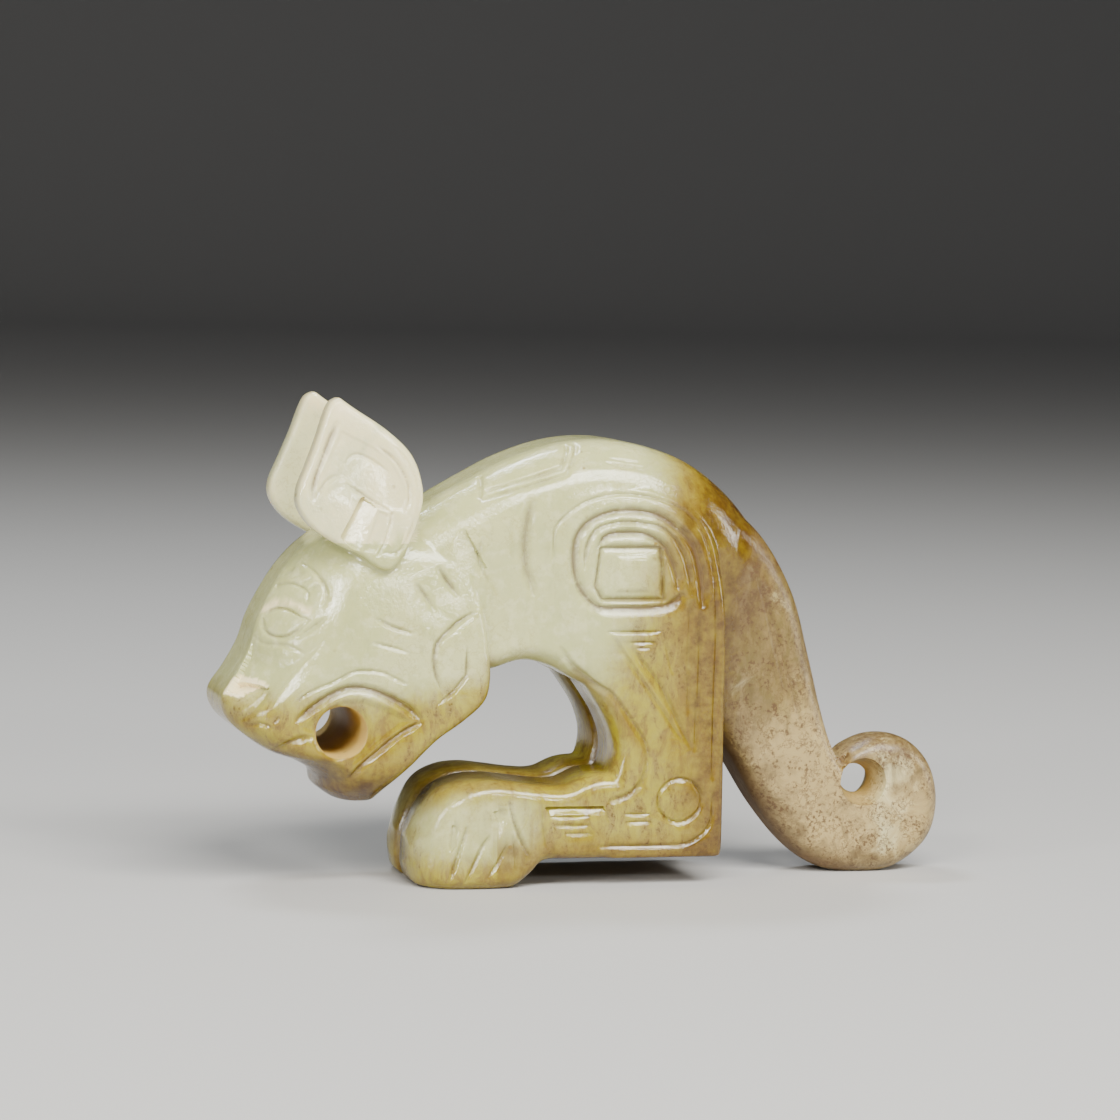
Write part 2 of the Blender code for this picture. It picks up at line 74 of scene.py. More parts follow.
class CarvingSizes(bpy.types.PropertyGroup):
    """Sizes of the carving, in metres."""
    body_width: measure("Body width", "Across the trunk, legs and feet", 0.0144)
    haunch_width: measure("Haunch width", "Across the two raised haunches", 0.0150)
    head_width: measure("Head width", "Across the cheeks", 0.0156)
    neck_width: measure("Neck width", "Across the neck behind the cheeks", 0.0130)
    paw_width: measure("Paw width", "Across the two front paws", 0.0150)
    tail_root_width: measure("Tail root width", "Tail thickness at the rump", 0.0096)
    tail_curl_width: measure("Tail curl width", "Tail thickness at the curl", 0.0056)
    ear_thickness: measure("Ear thickness", "Thickness of the ear plates", 0.0022)
    mouth_bore: measure("Mouth bore", "Drilled hole through the mouth", 0.0043)
    tail_bore_rim: measure("Tail hole rim", "Wide end of the tail hole", 0.0042)
    tail_bore_throat: measure("Tail hole throat", "Narrow middle of the tail hole", 0.0025)
    voxel: measure("Voxel", "Mesh size while the forms are joined", 0.00013, precision=6)
    triangles: IntProperty(
        name="Triangles", description="Most triangles in the finished carving", default=190000)


class CarvingColours(bpy.types.PropertyGroup):
    """Colours of the stone, its stains, and its painted shade and highlights."""
    celadon: tint("Celadon", "Main stone of head, neck and shoulder", (0.49, 0.50, 0.215))
    pale_green: tint("Pale green", "Lighter clouds in the main stone", (0.58, 0.575, 0.275))
    milky: tint("Milky", "Fine pale grain in the stone", (0.68, 0.66, 0.385))
    olive: tint("Olive", "Yellower stone of jaw, haunch and legs", (0.35, 0.285, 0.006))
    # Ochre and amber also colour the painted shade in the groove between the legs
    ochre: tint("Ochre", "Light iron stain", (0.215, 0.130, 0.008))
    amber: tint("Amber", "Dark iron stain along the edges and the rump", (0.078, 0.032, 0.003))
    ash: tint("Ash", "Grey-brown stone of the tail", (0.11, 0.066, 0.018))
    pale_ash: tint("Pale ash", "Lighter streaks in the tail", (0.27, 0.19, 0.072))
    sand: tint("Sand", "Sand-coloured lower part of the tail", (0.46, 0.34, 0.14))
    cream: tint("Cream", "Whitened stone of the ears and the tail curl", (0.86, 0.78, 0.45))
    # Painted highlight on the nostril facet and the eyelid ridge, and a pale spot at the ear tip
    peach_highlight_and_tip: tint("Peach", "Weathered skin in the nostril and on the eyelid", (1.0, 0.84, 0.50))
    shade: tint("Shade", "Darker green fibres inside the stone", (0.34, 0.36, 0.16))
    bore: tint("Bore", "Light brown walls of the drilled holes", (0.50, 0.34, 0.09))
    # Dirt in the cuts and specks on the tail; also the colour of painted shade in the cuts, the leg
    # groove and along the tail's front edge
    soil_and_shade: tint("Soil", "Dark remains in the engraved lines", (0.10, 0.045, 0.010))


# Lines and lofts

def smooth_line(points, steps):
    """Catmull-Rom curve through rows of numbers, ends included."""
    rows = np.asarray(points, float)
    padded = np.vstack([2 * rows[0] - rows[1], rows, 2 * rows[-1] - rows[-2]])
    out = []
    for i in range(len(rows) - 1):
        a, b, c, d = padded[i:i + 4]
        for k in range(steps):
            t = k / steps
            out.append(0.5 * (2 * b + (c - a) * t + (2 * a - 5 * b + 4 * c - d) * t * t
                              + (3 * b - a - 3 * c + d) * t ** 3))
    out.append(rows[-1])
    return np.array(out)


def curve(*points):
    return smooth_line(points, 5)


def oval(centre, wide, high):
    angles = np.radians(np.linspace(0, 360, 33))
    return np.column_stack([centre[0] + wide * np.cos(angles), centre[1] + high * np.sin(angles)])


def station(front, back, width, front_round, back_round, power=2.0):
    """One section: its ends on the side view, its full width, and how each end rounds over.

    A rounding is (along the section, across it); power below 2 gives a flatter, faceted corner.
    """
    return (*front, *back, width / 2, *front_round, *back_round, power)


def section(values):
    """The closed ring of a station, as x, y, z rows in drawn millimetres."""
    front, back = np.array(values[0:2]), np.array(values[2:4])
    half, front_reach, front_across, back_reach, back_across, power = values[4:]
    length = np.linalg.norm(back - front)
    along = (back - front) / length
    ends = []
    for reach, across, shape in ((front_reach, front_across, max(power, 1.0)),
                                 (back_reach, back_across, 2.0)):
        reach, across = min(reach, 0.49 * length), min(across, 0.96 * half)
        corner = []
        for angle in np.linspace(0, math.pi / 2, 9):
            corner.append((reach * (1 - math.cos(angle) ** (2 / shape)),
                           half - across * (1 - math.sin(angle) ** (2 / shape))))
        ends.append(corner)
    first = ends[0]
    last = [(length - s, y) for s, y in reversed(ends[1])]
    sides = np.linspace(first[-1], last[0], 8)[1:-1].tolist()
    row = [(0, 0), *first, *sides, *last, (length, 0)]
    loop = row + [(s, -y) for s, y in reversed(row[1:-1])]
    return np.array([(front[0] + along[0] * s, y, front[1] + along[1] * s) for s, y in loop])


def skin(rings):
    """Vertices and faces of a closed skin over rings of equal length."""
    count = len(rings[0])
    last = (len(rings) - 1) * count
    faces = [tuple(range(count)), tuple(range(last, last + count))[::-1]]
    for i in range(len(rings) - 1):
        for k in range(count):
            n = (k + 1) % count
            faces.append((i * count + k, (i + 1) * count + k,
                          (i + 1) * count + n, i * count + n))
    return np.vstack(rings), faces


def loft(stations):
    """Skin over smoothly joined stations: front end, back end, width, roundings, power."""
    rows = [station(*values) for values in stations]
    return skin([section(row) for row in smooth_line(rows, 8)])


# Body forms

def trunk(sizes):
    """Neck, back and belly, as sections that fan around the arch under the body."""
    top, under = (5.5, 4.6), (1.6, 2.0)
    neck, body = sizes.neck_width / MM, sizes.body_width / MM
    return loft([
        ((-13.0, 20.0), (-15.5, 30.0), neck - 1.0, under, top),
        ((-8.0, 17.8), (-11.5, 31.6), neck, under, top),
        ((-5.4, 18.3), (-7.7, 33.7), neck + 0.4, under, top),
        ((-2.8, 19.1), (-3.4, 35.9), body - 0.4, under, top),
        ((-0.4, 18.6), (1.2, 37.3), body, under, top),
        ((1.8, 17.4), (5.9, 37.4), body, under, top),
        ((4.2, 16.4), (11.3, 35.9), body - 0.2, under, top),
        ((6.5, 15.5), (15.4, 33.1), body - 1.2, under, top),
        ((9.0, 14.5), (18.9, 29.3), sizes.tail_root_width / MM + 0.3, under, (4.5, 3.8)),
    ])


def haunch_and_leg(sizes):
    """The raised haunch down to the heel, as level sections from the sole to the rump."""
    front, back = (1.5, 1.7), (0.7, 0.8)
    leg, haunch = sizes.body_width / MM, sizes.haunch_width / MM
    return loft([
        ((4.0, 2.4), (14.5, 2.4), leg - 0.8, front, back),
        ((4.2, 3.0), (14.8, 3.0), leg, front, back),
        ((4.6, 8.0), (14.8, 8.0), leg, front, back),
        ((5.3, 11.3), (14.75, 12.0), leg, front, back),
        ((4.7, 13.8), (14.7, 16.0), leg, front, back),
        ((3.2, 16.2), (14.65, 20.0), leg + 0.2, front, back),
        ((0.9, 19.4), (14.4, 24.0), haunch, (2.4, 1.0), back),
        ((-0.6, 23.0), (13.9, 27.6), haunch, (2.4, 0.8), (1.4, 1.2)),
        ((-0.9, 27.0), (13.0, 30.4), haunch, (2.2, 0.6), (2.4, 1.4)),
        ((0.2, 30.6), (11.0, 32.4), haunch - 0.2, (2.4, 0.6), (2.6, 1.2)),
        ((2.6, 33.2), (8.0, 33.6), haunch - 0.8, (1.6, 0.6), (1.6, 0.8)),
    ])


def foot_and_paw(sizes):
    """Both feet as one block, cut apart later by the groove; upright sections, heel to toes."""
    sole, top, toe = (0.9, 0.9), (1.4, 1.6), (1.3, 1.7)
    foot, paw = sizes.body_width / MM, sizes.paw_width / MM
    return loft([
        ((14.4, 2.6), (14.4, 8.6), foot - 0.8, sole, top),
        ((13.6, 2.4), (13.6, 9.0), foot, sole, top),
        ((4.6, 2.4), (4.6, 9.6), foot, sole, top),
        ((1.2, 2.4), (1.2, 8.6), foot, sole, top),
        ((-0.8, 2.3), (-0.8, 8.6), foot, sole, top),
        ((-2.0, 1.2), (-1.8, 8.7), foot + 0.2, sole, top),
        ((-3.4, 0.0), (-3.3, 8.9), paw - 0.3, toe, top),
        ((-5.5, -0.15), (-5.4, 9.1), paw, toe, top),
        ((-8.6, -0.15), (-7.6, 8.9), paw - 0.2, toe, (2.0, 2.0)),
        ((-10.4, 0.0), (-9.6, 8.0), paw - 1.4, (1.4, 1.7), (2.4, 2.2)),
        ((-11.4, 0.3), (-10.9, 6.2), paw - 3.4, (1.8, 1.8), (2.4, 2.4)),
        ((-11.9, 1.6), (-11.8, 3.9), paw - 6.4, (1.1, 2.0), (1.1, 2.0)),
    ])


def tail(sizes):
    """Flat tail that sweeps down from the rump and curls up around the tail hole."""
    root, curl = sizes.tail_root_width / MM, sizes.tail_curl_width / MM
    mid = (root + curl) / 2
    stations = [
        ((7.0, 25.0), (14.4, 33.1), root + 2.6, (1.5, 1.5), (4.4, 3.6)),
        ((9.5, 20.5), (18.7, 29.5), root + 1.0, (1.8, 1.8), (3.6, 2.8)),
        ((12.2, 16.6), (21.7, 24.6), root, (2.0, 2.0), (2.8, 2.4)),
        ((14.7, 13.2), (23.6, 18.9), mid + 0.5, (2.0, 2.0), (2.4, 2.2)),
        ((17.1, 9.8), (24.9, 14.3), mid - 0.3, (1.8, 1.8), (2.2, 1.9)),
        ((19.6, 5.8), (26.2, 10.8), curl + 0.8, (1.8, 1.8), (1.6, 1.6)),
    ]
    outer = [(22.4, 2.4), (25.4, 0.4), (28.9, -0.15), (32.4, 0.35), (35.35, 2.7), (36.2, 6.0),
             (35.4, 9.3), (33.2, 11.5), (30.4, 11.9), (28.0, 11.0), (26.6, 9.7)]
    cx, cz = TAIL_HOLE_CENTRE
    core = 0.9                         # the sections end this far from the middle of the hole
    for x, z in outer:
        reach = math.hypot(x - cx, z - cz)
        inner = (cx + (x - cx) * core / reach, cz + (z - cz) * core / reach)
        stations.append(((x, z), inner, curl, (2.0, 2.1), (0.6, 0.6)))
    return loft(stations)


def head(sizes):
    """Level sections from the chin to the crown; the face slants back to a ridge each side."""
    wide = sizes.head_width / MM
    jaw, faceted = (1.1, 1.2), 1.5
    return loft([
        ((-18.1, 7.25), (-14.4, 7.25), wide - 6.6, (1.5, 4.0), (1.5, 4.0)),
        ((-19.3, 8.2), (-13.9, 8.2), wide - 3.2, (2.7, 5.4), (1.8, 4.0)),
        ((-19.5, 9.3), (-13.3, 9.3), wide - 1.2, (3.4, 5.6), (1.4, 2.2)),
        ((-21.6, 10.6), (-12.2, 10.6), wide - 0.2, (4.2, 5.6), (1.1, 1.4)),
        ((-23.9, 11.5), (-11.4, 11.5), wide, (3.8, 4.4), jaw),
        ((-25.9, 12.8), (-10.0, 12.8), wide, (3.4, 3.6), jaw, 1.8),
        ((-27.4, 14.2), (-8.0, 14.2), wide, (4.2, 4.2), jaw, 1.7),
        ((-27.8, 15.9), (-6.2, 15.9), wide, (5.0, 4.3), jaw, faceted),
        ((-26.6, 17.9), (-5.8, 17.9), wide, (5.8, 4.6), jaw, faceted),
        ((-25.5, 20.0), (-6.0, 20.0), wide, (6.2, 4.8), jaw, faceted),
        ((-24.85, 22.2), (-6.3, 22.2), wide - 0.2, (6.4, 5.0), jaw, faceted),
        ((-23.85, 24.3), (-6.7, 24.3), wide - 0.7, (6.4, 5.0), (1.4, 1.4), faceted),
        ((-22.6, 26.4), (-7.2, 26.4), wide - 1.6, (6.2, 5.0), (2.0, 2.0), 1.7),
        ((-20.9, 28.3), (-8.6, 28.3), wide - 3.2, (5.6, 4.6), (2.6, 2.4)),
        ((-18.8, 29.8), (-10.6, 29.8), wide - 5.8, (3.6, 3.4), (3.0, 2.8)),
        ((-16.8, 30.8), (-13.0, 30.8), wide - 9.0, (1.8, 2.6), (1.8, 2.4)),
    ])


EAR_FACE, EAR_LEAN, EAR_FOOT = 7.75, 0.13, 28.0      # outer face at the foot, and its slope
EAR_OUTLINE = [
    (-18.9, 40.9), (-19.8, 40.2), (-20.8, 37.4), (-21.7, 35.1), (-22.4, 33.3), (-22.35, 31.8),
    (-21.2, 30.2), (-19.2, 28.9), (-17.2, 28.0), (-15.7, 27.0), (-14.5, 26.9), (-13.2, 28.7),
    (-12.2, 31.1), (-11.85, 33.3), (-12.7, 36.1), (-14.8, 38.2), (-17.6, 40.0), (-18.9, 40.9)]


def ear(sizes, side):
    """A thick leaf-shaped plate that leans in a little towards its tip."""
    thick = sizes.ear_thickness / MM
    outline = smooth_line(EAR_OUTLINE, 6)[:-1]
    centre = outline.mean(axis=0)
    rounding = [(0.0, 0.4), (0.06, 0.16), (0.15, 0.03), (0.36, 0.0)]
    rings = []
    for share, inset in rounding + [(1 - share, inset) for share, inset in rounding[::-1]]:
        ring = []
        for x, z in outline:
            away = np.array((x, z)) - centre
            x, z = centre + away * (1 - inset / np.linalg.norm(away))
            face = EAR_FACE - EAR_LEAN * (z - EAR_FOOT)
            ring.append((x, side * (face - thick * share), z))
        rings.append(np.array(ring))
    if side < 0:
        rings.reverse()
    return skin(rings)


# Engraving, in millimetres

BLUNT = "blunt"

# Cuts on the sides: line, width, depth, and BLUNT where the ends don't run out thin
HAUNCH_LINES = [
    (curve((-0.7, 27.7), (-0.7, 30.1), (0.3, 31.4), (1.9, 32.5), (3.9, 33.1), (5.9, 33.2),
     (8.3, 32.8), (10.6, 31.8), (12.2, 30.1), (13.1, 27.4), (13.4, 24.3), (13.6, 20.8),
     (13.6, 15.8), (13.65, 9.0)), 0.55, 0.2),
    (curve((10.6, 24.9), (9.7, 24.1), (8.6, 23.75), (7.0, 23.65), (4.2, 23.65), (3.0, 23.85),
     (2.1, 24.6), (1.4, 25.6), (1.0, 27.0), (1.0, 28.9), (1.5, 30.2), (2.7, 31.2), (4.6, 31.8),
     (6.7, 31.8), (8.3, 31.4), (9.8, 30.4), (11.2, 28.9), (11.8, 27.3), (12.2, 25.1),
     (12.3, 23.6)), 1.3, 0.4),
    (curve((1.9, 26.9), (2.0, 28.6), (2.5, 29.8), (3.3, 30.5), (5.2, 30.9), (6.8, 30.8),
     (8.4, 30.5), (9.6, 29.6), (10.6, 28.0), (11.1, 26.2), (11.3, 24.7)), 0.8, 0.3),
    (curve((2.8, 28.3), (3.5, 29.5), (4.6, 29.95), (6.8, 29.95), (7.9, 29.5), (8.7, 28.9),
     (9.3, 27.9), (9.9, 26.5), (10.1, 25.2)), 1.15, 0.4),
    ([(3.3, 28.75), (8.5, 28.8), (8.75, 26.4), (8.9, 24.35), (3.6, 24.35), (2.9, 25.4),
     (3.1, 27.0), (3.3, 28.75)], 0.95, 0.34, BLUNT),
    ([(3.95, 21.65), (8.8, 21.65)], 0.5, 0.24),
    ([(5.9, 20.75), (8.4, 20.75)], 0.45, 0.22),
    ([(6.4, 20.25), (8.0, 20.25)], 0.4, 0.16),
]
LEG_LINES = [
    ([(4.3, 21.5), (6.4, 18.6), (8.8, 15.4), (10.9, 12.4)], 0.6, 0.17),
    ([(6.2, 20.3), (8.9, 17.0), (11.7, 11.7)], 0.6, 0.19),
    ([(8.9, 21.6), (9.9, 18.0)], 0.5, 0.14),
    ([(11.1, 24.3), (11.3, 14.6)], 0.5, 0.14),
    ([(12.1, 23.5), (12.2, 17.4), (12.0, 11.4)], 0.6, 0.19),
    (curve((0.0, 20.4), (1.4, 18.6), (3.2, 17.3), (4.7, 16.4), (5.8, 15.0), (6.9, 13.5),
     (7.7, 12.2), (7.95, 10.8), (7.5, 9.1), (6.4, 7.9), (4.5, 7.3)), 0.9, 0.26),
    (curve((8.3, 12.0), (8.4, 10.6), (8.1, 9.2)), 0.5, 0.16),
    (oval((10.8, 7.3), 1.9, 1.85), 0.55, 0.24, BLUNT),
    (curve((11.2, 5.6), (12.0, 6.0), (12.6, 6.7)), 0.5, 0.22),
    (curve((13.8, 8.0), (13.7, 5.9), (13.2, 4.7), (11.9, 3.75), (10.2, 3.5), (3.6, 3.5)), 0.6,
     0.22),
    ([(5.9, 6.2), (8.3, 6.2)], 0.45, 0.2),
    ([(6.0, 5.5), (8.5, 5.5)], 0.45, 0.2),
]
FOOT_LINES = [
    ([(-0.6, 6.05), (3.1, 6.05)], 0.45, 0.2),
    ([(-0.1, 5.35), (3.1, 5.3)], 0.5, 0.24),
    ([(0.7, 4.6), (3.5, 4.6)], 0.4, 0.14),
    ([(4.3, 6.9), (4.7, 5.5)], 0.4, 0.16),
    (curve((-1.15, 7.0), (-1.0, 5.2), (-0.65, 3.3)), 0.6, 0.2),
    (curve((-4.1, 7.5), (-3.4, 5.2), (-2.2, 2.6)), 0.65, 0.3),
    (curve((-8.8, 5.5), (-9.0, 3.2)), 0.6, 0.22),
    (curve((-7.6, 5.4), (-8.4, 2.9), (-9.1, 0.6)), 0.65, 0.3),
    (curve((-5.7, 4.6), (-6.4, 3.5), (-7.7, 0.6)), 0.65, 0.3),
    (curve((-4.1, 3.9), (-4.9, 2.4), (-5.9, 0.9)), 0.6, 0.26),
    (curve((-3.7, 4.6), (-3.5, 3.3), (-3.4, 1.8)), 0.5, 0.2),
]
NECK_LINES = [
    (curve((-6.7, 29.5), (-7.0, 28.2), (-6.8, 27.0), (-6.1, 25.7)), 0.55, 0.2),
    (curve((-2.6, 32.8), (-3.1, 30.1), (-3.1, 27.5), (-2.2, 24.6)), 1.5, 0.3),
    (curve((-1.2, 29.2), (-1.3, 27.4), (-1.1, 25.4)), 0.6, 0.2),
    ([(-6.7, 32.55), (-3.2, 33.65), (0.45, 34.8), (1.7, 37.0)], 0.6, 0.22, BLUNT),
    ([(-6.1, 33.25), (-3.0, 34.25), (0.0, 35.25), (0.9, 36.9)], 0.55, 0.2, BLUNT),
    ([(-6.7, 32.5), (-6.3, 34.4)], 0.5, 0.2, BLUNT),
    ([(3.9, 35.75), (7.2, 35.2), (8.5, 35.9)], 0.45, 0.15),
    ([(4.2, 36.1), (7.0, 35.7)], 0.4, 0.12),
    ([(-10.5, 27.1), (-9.8, 26.0), (-8.7, 24.6)], 0.85, 0.34),
    ([(-12.4, 25.7), (-11.6, 24.7), (-10.8, 23.4)], 0.75, 0.3),
]
FACE_LINES = [
    (curve((-15.9, 22.9), (-14.3, 22.1), (-12.6, 21.6)), 0.6, 0.24),
    (curve((-16.1, 20.9), (-14.6, 20.5), (-12.9, 20.0)), 0.5, 0.2),
    (curve((-7.3, 23.4), (-8.7, 22.6), (-9.8, 21.7), (-10.6, 20.8), (-10.9, 19.6), (-10.7, 18.2),
     (-10.2, 16.9)), 0.8, 0.34),
    ([(-8.1, 20.7), (-8.1, 18.1), (-9.2, 16.7), (-10.5, 15.7)], 0.6, 0.28),
    (curve((-24.3, 14.1), (-23.2, 15.4), (-22.2, 16.2), (-20.8, 17.0), (-19.3, 17.6),
     (-17.4, 18.5), (-15.3, 18.4), (-14.2, 17.9), (-13.0, 17.4)), 0.5, 0.2),
    (curve((-22.4, 14.4), (-20.8, 15.7), (-19.2, 16.7), (-17.7, 17.15), (-16.1, 16.95),
     (-14.5, 16.3), (-13.1, 15.5), (-11.7, 14.35)), 1.15, 0.42),
    (curve((-11.7, 14.35), (-13.5, 13.35), (-15.1, 12.15), (-16.7, 10.7), (-17.8, 9.4)), 0.85,
     0.36),
    (curve((-25.2, 20.9), (-24.5, 20.5), (-23.1, 20.5), (-21.6, 19.9)), 0.6, 0.16),
    ([(-22.2, 21.1), (-21.2, 21.9), (-19.9, 22.9)], 0.6, 0.24),
    (curve((-24.5, 22.5), (-24.5, 21.7), (-24.0, 21.2), (-23.1, 21.15), (-22.2, 21.7),
     (-21.2, 22.7)), 0.5, 0.26),
    (curve((-24.5, 22.6), (-23.9, 23.15), (-23.3, 23.4), (-22.6, 23.3), (-21.8, 22.8),
     (-21.1, 22.6)), 0.45, 0.28),
    (curve((-21.5, 27.1), (-20.9, 26.8), (-20.3, 26.1), (-19.9, 25.4), (-19.8, 24.5),
     (-20.2, 23.7)), 0.5, 0.24),
    (curve((-23.9, 24.3), (-23.5, 24.9), (-22.6, 25.4), (-21.8, 25.3), (-21.2, 24.8),
     (-21.3, 24.0)), 0.45, 0.2),
    ([(-21.9, 26.7), (-22.9, 25.9)], 0.35, 0.14),
    ([(-21.2, 26.5), (-22.4, 25.7)], 0.35, 0.14),
    ([(-20.7, 26.0), (-21.8, 25.3)], 0.35, 0.14),
    ([(-20.3, 25.5), (-21.2, 24.9)], 0.35, 0.14),
    (curve((-24.6, 16.9), (-25.2, 16.1), (-25.9, 15.1), (-26.8, 14.1)), 0.8, 0.24),
    (curve((-26.2, 13.9), (-25.1, 14.1), (-24.2, 13.8)), 0.5, 0.16),
    (curve((-23.9, 11.9), (-23.2, 12.4), (-22.2, 12.9), (-20.9, 13.1)), 1.0, 0.34),
]
BACK_LINES = [
    ([(18.2, 25.2), (19.9, 19.7), (21.4, 15.4)], 0.7, 0.18),
    ([(17.8, 26.0), (18.9, 23.4), (21.4, 17.1), (23.0, 12.3)], 0.7, 0.2),
    ([(26.2, 11.4), (27.1, 9.9), (27.6, 9.2)], 1.5, 0.5, BLUNT),
]
SIDE_LINES = HAUNCH_LINES + LEG_LINES + FOOT_LINES + NECK_LINES + FACE_LINES + BACK_LINES

# Cuts on the outer face of each ear, in the same order
EAR_LINES = [
    (curve((-19.1, 39.0), (-19.9, 37.1), (-20.75, 34.9), (-21.15, 33.5), (-21.15, 32.4)), 1.0,
     0.34),
    (curve((-21.1, 32.5), (-20.5, 33.4), (-19.7, 34.3), (-18.9, 34.5)), 0.7, 0.22),
    (curve((-18.3, 35.1), (-18.3, 35.8), (-17.7, 36.25), (-17.1, 36.2), (-16.1, 35.75),
     (-14.9, 34.9)), 0.55, 0.2),
    (curve((-15.9, 37.0), (-14.5, 36.0), (-13.75, 35.0), (-13.25, 33.9), (-13.15, 32.6),
     (-13.5, 31.5)), 0.55, 0.24),
    (curve((-14.3, 36.9), (-13.2, 35.6), (-12.5, 34.1), (-12.3, 32.5), (-12.6, 31.2)), 0.35, 0.12),
    (curve((-18.5, 33.9), (-17.4, 33.25), (-16.4, 32.6), (-14.7, 31.6)), 0.6, 0.3),
    ([(-14.6, 31.5), (-14.75, 30.6), (-15.2, 29.2), (-15.7, 28.2)], 0.5, 0.22, BLUNT),
    (curve((-12.6, 31.2), (-13.3, 29.4), (-14.2, 28.3), (-15.6, 28.3)), 0.5, 0.2),
]

# Flat sloped cuts: corners, depth, and the start and the reach of the slope
SIDE_FACETS = [
    ([(-0.9, 6.95), (4.15, 6.85), (4.5, 6.15), (-0.5, 6.2)], 0.44, (0.0, 6.95), (0.0, -0.8)),
    ([(-27.5, 16.5), (-27.1, 17.25), (-26.4, 17.5), (-25.3, 17.35), (-24.6, 17.1), (-25.5, 16.75),
     (-26.6, 16.35)], 0.5, (-26.0, 17.4), (0.15, -1.0)),
    ([(-8.9, 5.4), (-8.2, 5.4), (-8.6, 3.6), (-9.0, 3.2)], 0.24, (-8.9, 4.4), (0.8, 0.0)),
    ([(-5.4, 6.6), (-3.9, 7.0), (-3.4, 5.4), (-5.0, 5.6)], 0.2, (-5.3, 6.2), (1.6, 0.0)),
]
EAR_FACETS = [
    ([(-17.1, 32.85), (-15.8, 31.85), (-17.1, 28.3), (-18.0, 28.6), (-18.9, 29.5)], 0.85,
     (-18.1, 31.1), (1.75, -0.75)),
]


SIDE_FACING = 0.25                       # least sideways part of the normal where lines are cut
SOIL_AND_SHADE_DEPTH = 0.36                      # a cut this deep is full of old dirt and painted shade
TAPER_LENGTH = 1.3                       # over which a cut's end runs out, unless it is short
LIT_SIDE = np.array([-0.45, 0.89])       # the steep wall of a cut lies this way from its bottom
BOSS_HALF, BOSS_SLOPE, BOSS_HEIGHT = 1.6, 0.85, 0.48     # the square on the haunch
GROOVE_HALF, GROOVE_DEPTH = 0.95, 1.05

# Low rounded bosses, for eye, ankle and cheek: height, centre, half width, half height, turn
DOMES = [
    (0.34, (-22.9, 22.3), 1.5, 0.85, 4),
    (0.16, (10.8, 7.3), 1.7, 1.6, 0),
    (0.14, (-9.4, 19.4), 1.5, 2.6, -20),
]


def off_run(a, b, points):
    """For each point, the share of the run from a to b where it is nearest, and the way off it."""
    run = b - a
    share = np.clip(((points - a) @ run) / max(run @ run, 1e-12), 0, 1)
    return share, points - a - share[:, None] * run


def distance_to(line, points):
    line = np.array(line, float)
    best = np.full(len(points), np.inf)
    for a, b in zip(line[:-1], line[1:]):
        away = off_run(a, b, points)[1]
        best = np.minimum(best, np.hypot(away[:, 0], away[:, 1]))
    return best


def line_cut(line, flat, width, depth, tapered=True, lean=0.15):
    """Indices of the points near a line, and the depth of its slanted V cut there.

    A positive lean makes the wall on the lit side the steeper one.
    """
    line = np.array(line, float)
    near = ((flat > line.min(0) - width) & (flat < line.max(0) + width)).all(1)
    close = np.flatnonzero(near)
    points = flat[close]
    best = np.full(len(close), np.inf)
    place = np.zeros(len(close))
    side = np.zeros(len(close))
    runs = np.linalg.norm(np.diff(line, axis=0), axis=1)
    starts = np.concatenate([[0], np.cumsum(runs)])
    for i, (a, b) in enumerate(zip(line[:-1], line[1:])):
        t, away = off_run(a, b, points)
        gap = np.hypot(away[:, 0], away[:, 1])
        nearer = gap < best
        best = np.where(nearer, gap, best)
        place = np.where(nearer, starts[i] + t * runs[i], place)
        side = np.where(nearer, (away @ LIT_SIDE) / np.maximum(gap, 1e-9), side)
    full = np.ones(len(close))
    if tapered:
        ends = np.minimum(place, starts[-1] - place)
        reach = min(TAPER_LENGTH, 0.35 * starts[-1])
        full = np.sqrt(np.clip(ends / reach, 0.0, 1.0)) * 0.92 + 0.08
    half = width / 2 * (1 - lean * side)
    share = best / (half * (0.45 + 0.55 * full))
    return close, depth * full * np.clip(1 - share, 0, 1) ** 1.15


def inside(corners, points):
    """Whether each point lies inside a closed outline."""
    ring = np.array(corners, float)
    odd = np.zeros(len(points), bool)
    for (x1, z1), (x2, z2) in zip(ring, np.roll(ring, -1, axis=0)):
        if z1 == z2:
            continue
        crosses = (z1 > points[:, 1]) != (z2 > points[:, 1])
        odd ^= crosses & (points[:, 0] < (x2 - x1) * (points[:, 1] - z1) / (z2 - z1) + x1)
    return odd


def facet_cut(facet, flat):
    """Depth of a sloped flat cut: full at its start, nothing one reach further on."""
    corners, depth, start, reach = facet
    run = np.array(reach)
    along = ((flat - np.array(start)) @ run) / (run @ run)
    return np.where(inside(corners, flat), depth * np.clip(1 - along, 0, 1), 0)


def dome(flat, centre, wide, high, turn):
    """1 at the middle of an oval, falling to 0 at its edge."""
    lean = math.radians(turn)
    u, v = flat[:, 0] - centre[0], flat[:, 1] - centre[1]
    along = (u * math.cos(lean) + v * math.sin(lean)) / wide
    across = (-u * math.sin(lean) + v * math.cos(lean)) / high
    return np.clip(1 - along ** 2 - across ** 2, 0, 1)


def step(value, low, high):
    """Smooth 0 to 1 as value goes from low to high."""
    t = np.clip((value - low) / (high - low), 0, 1)
    return t * t * (3 - 2 * t)


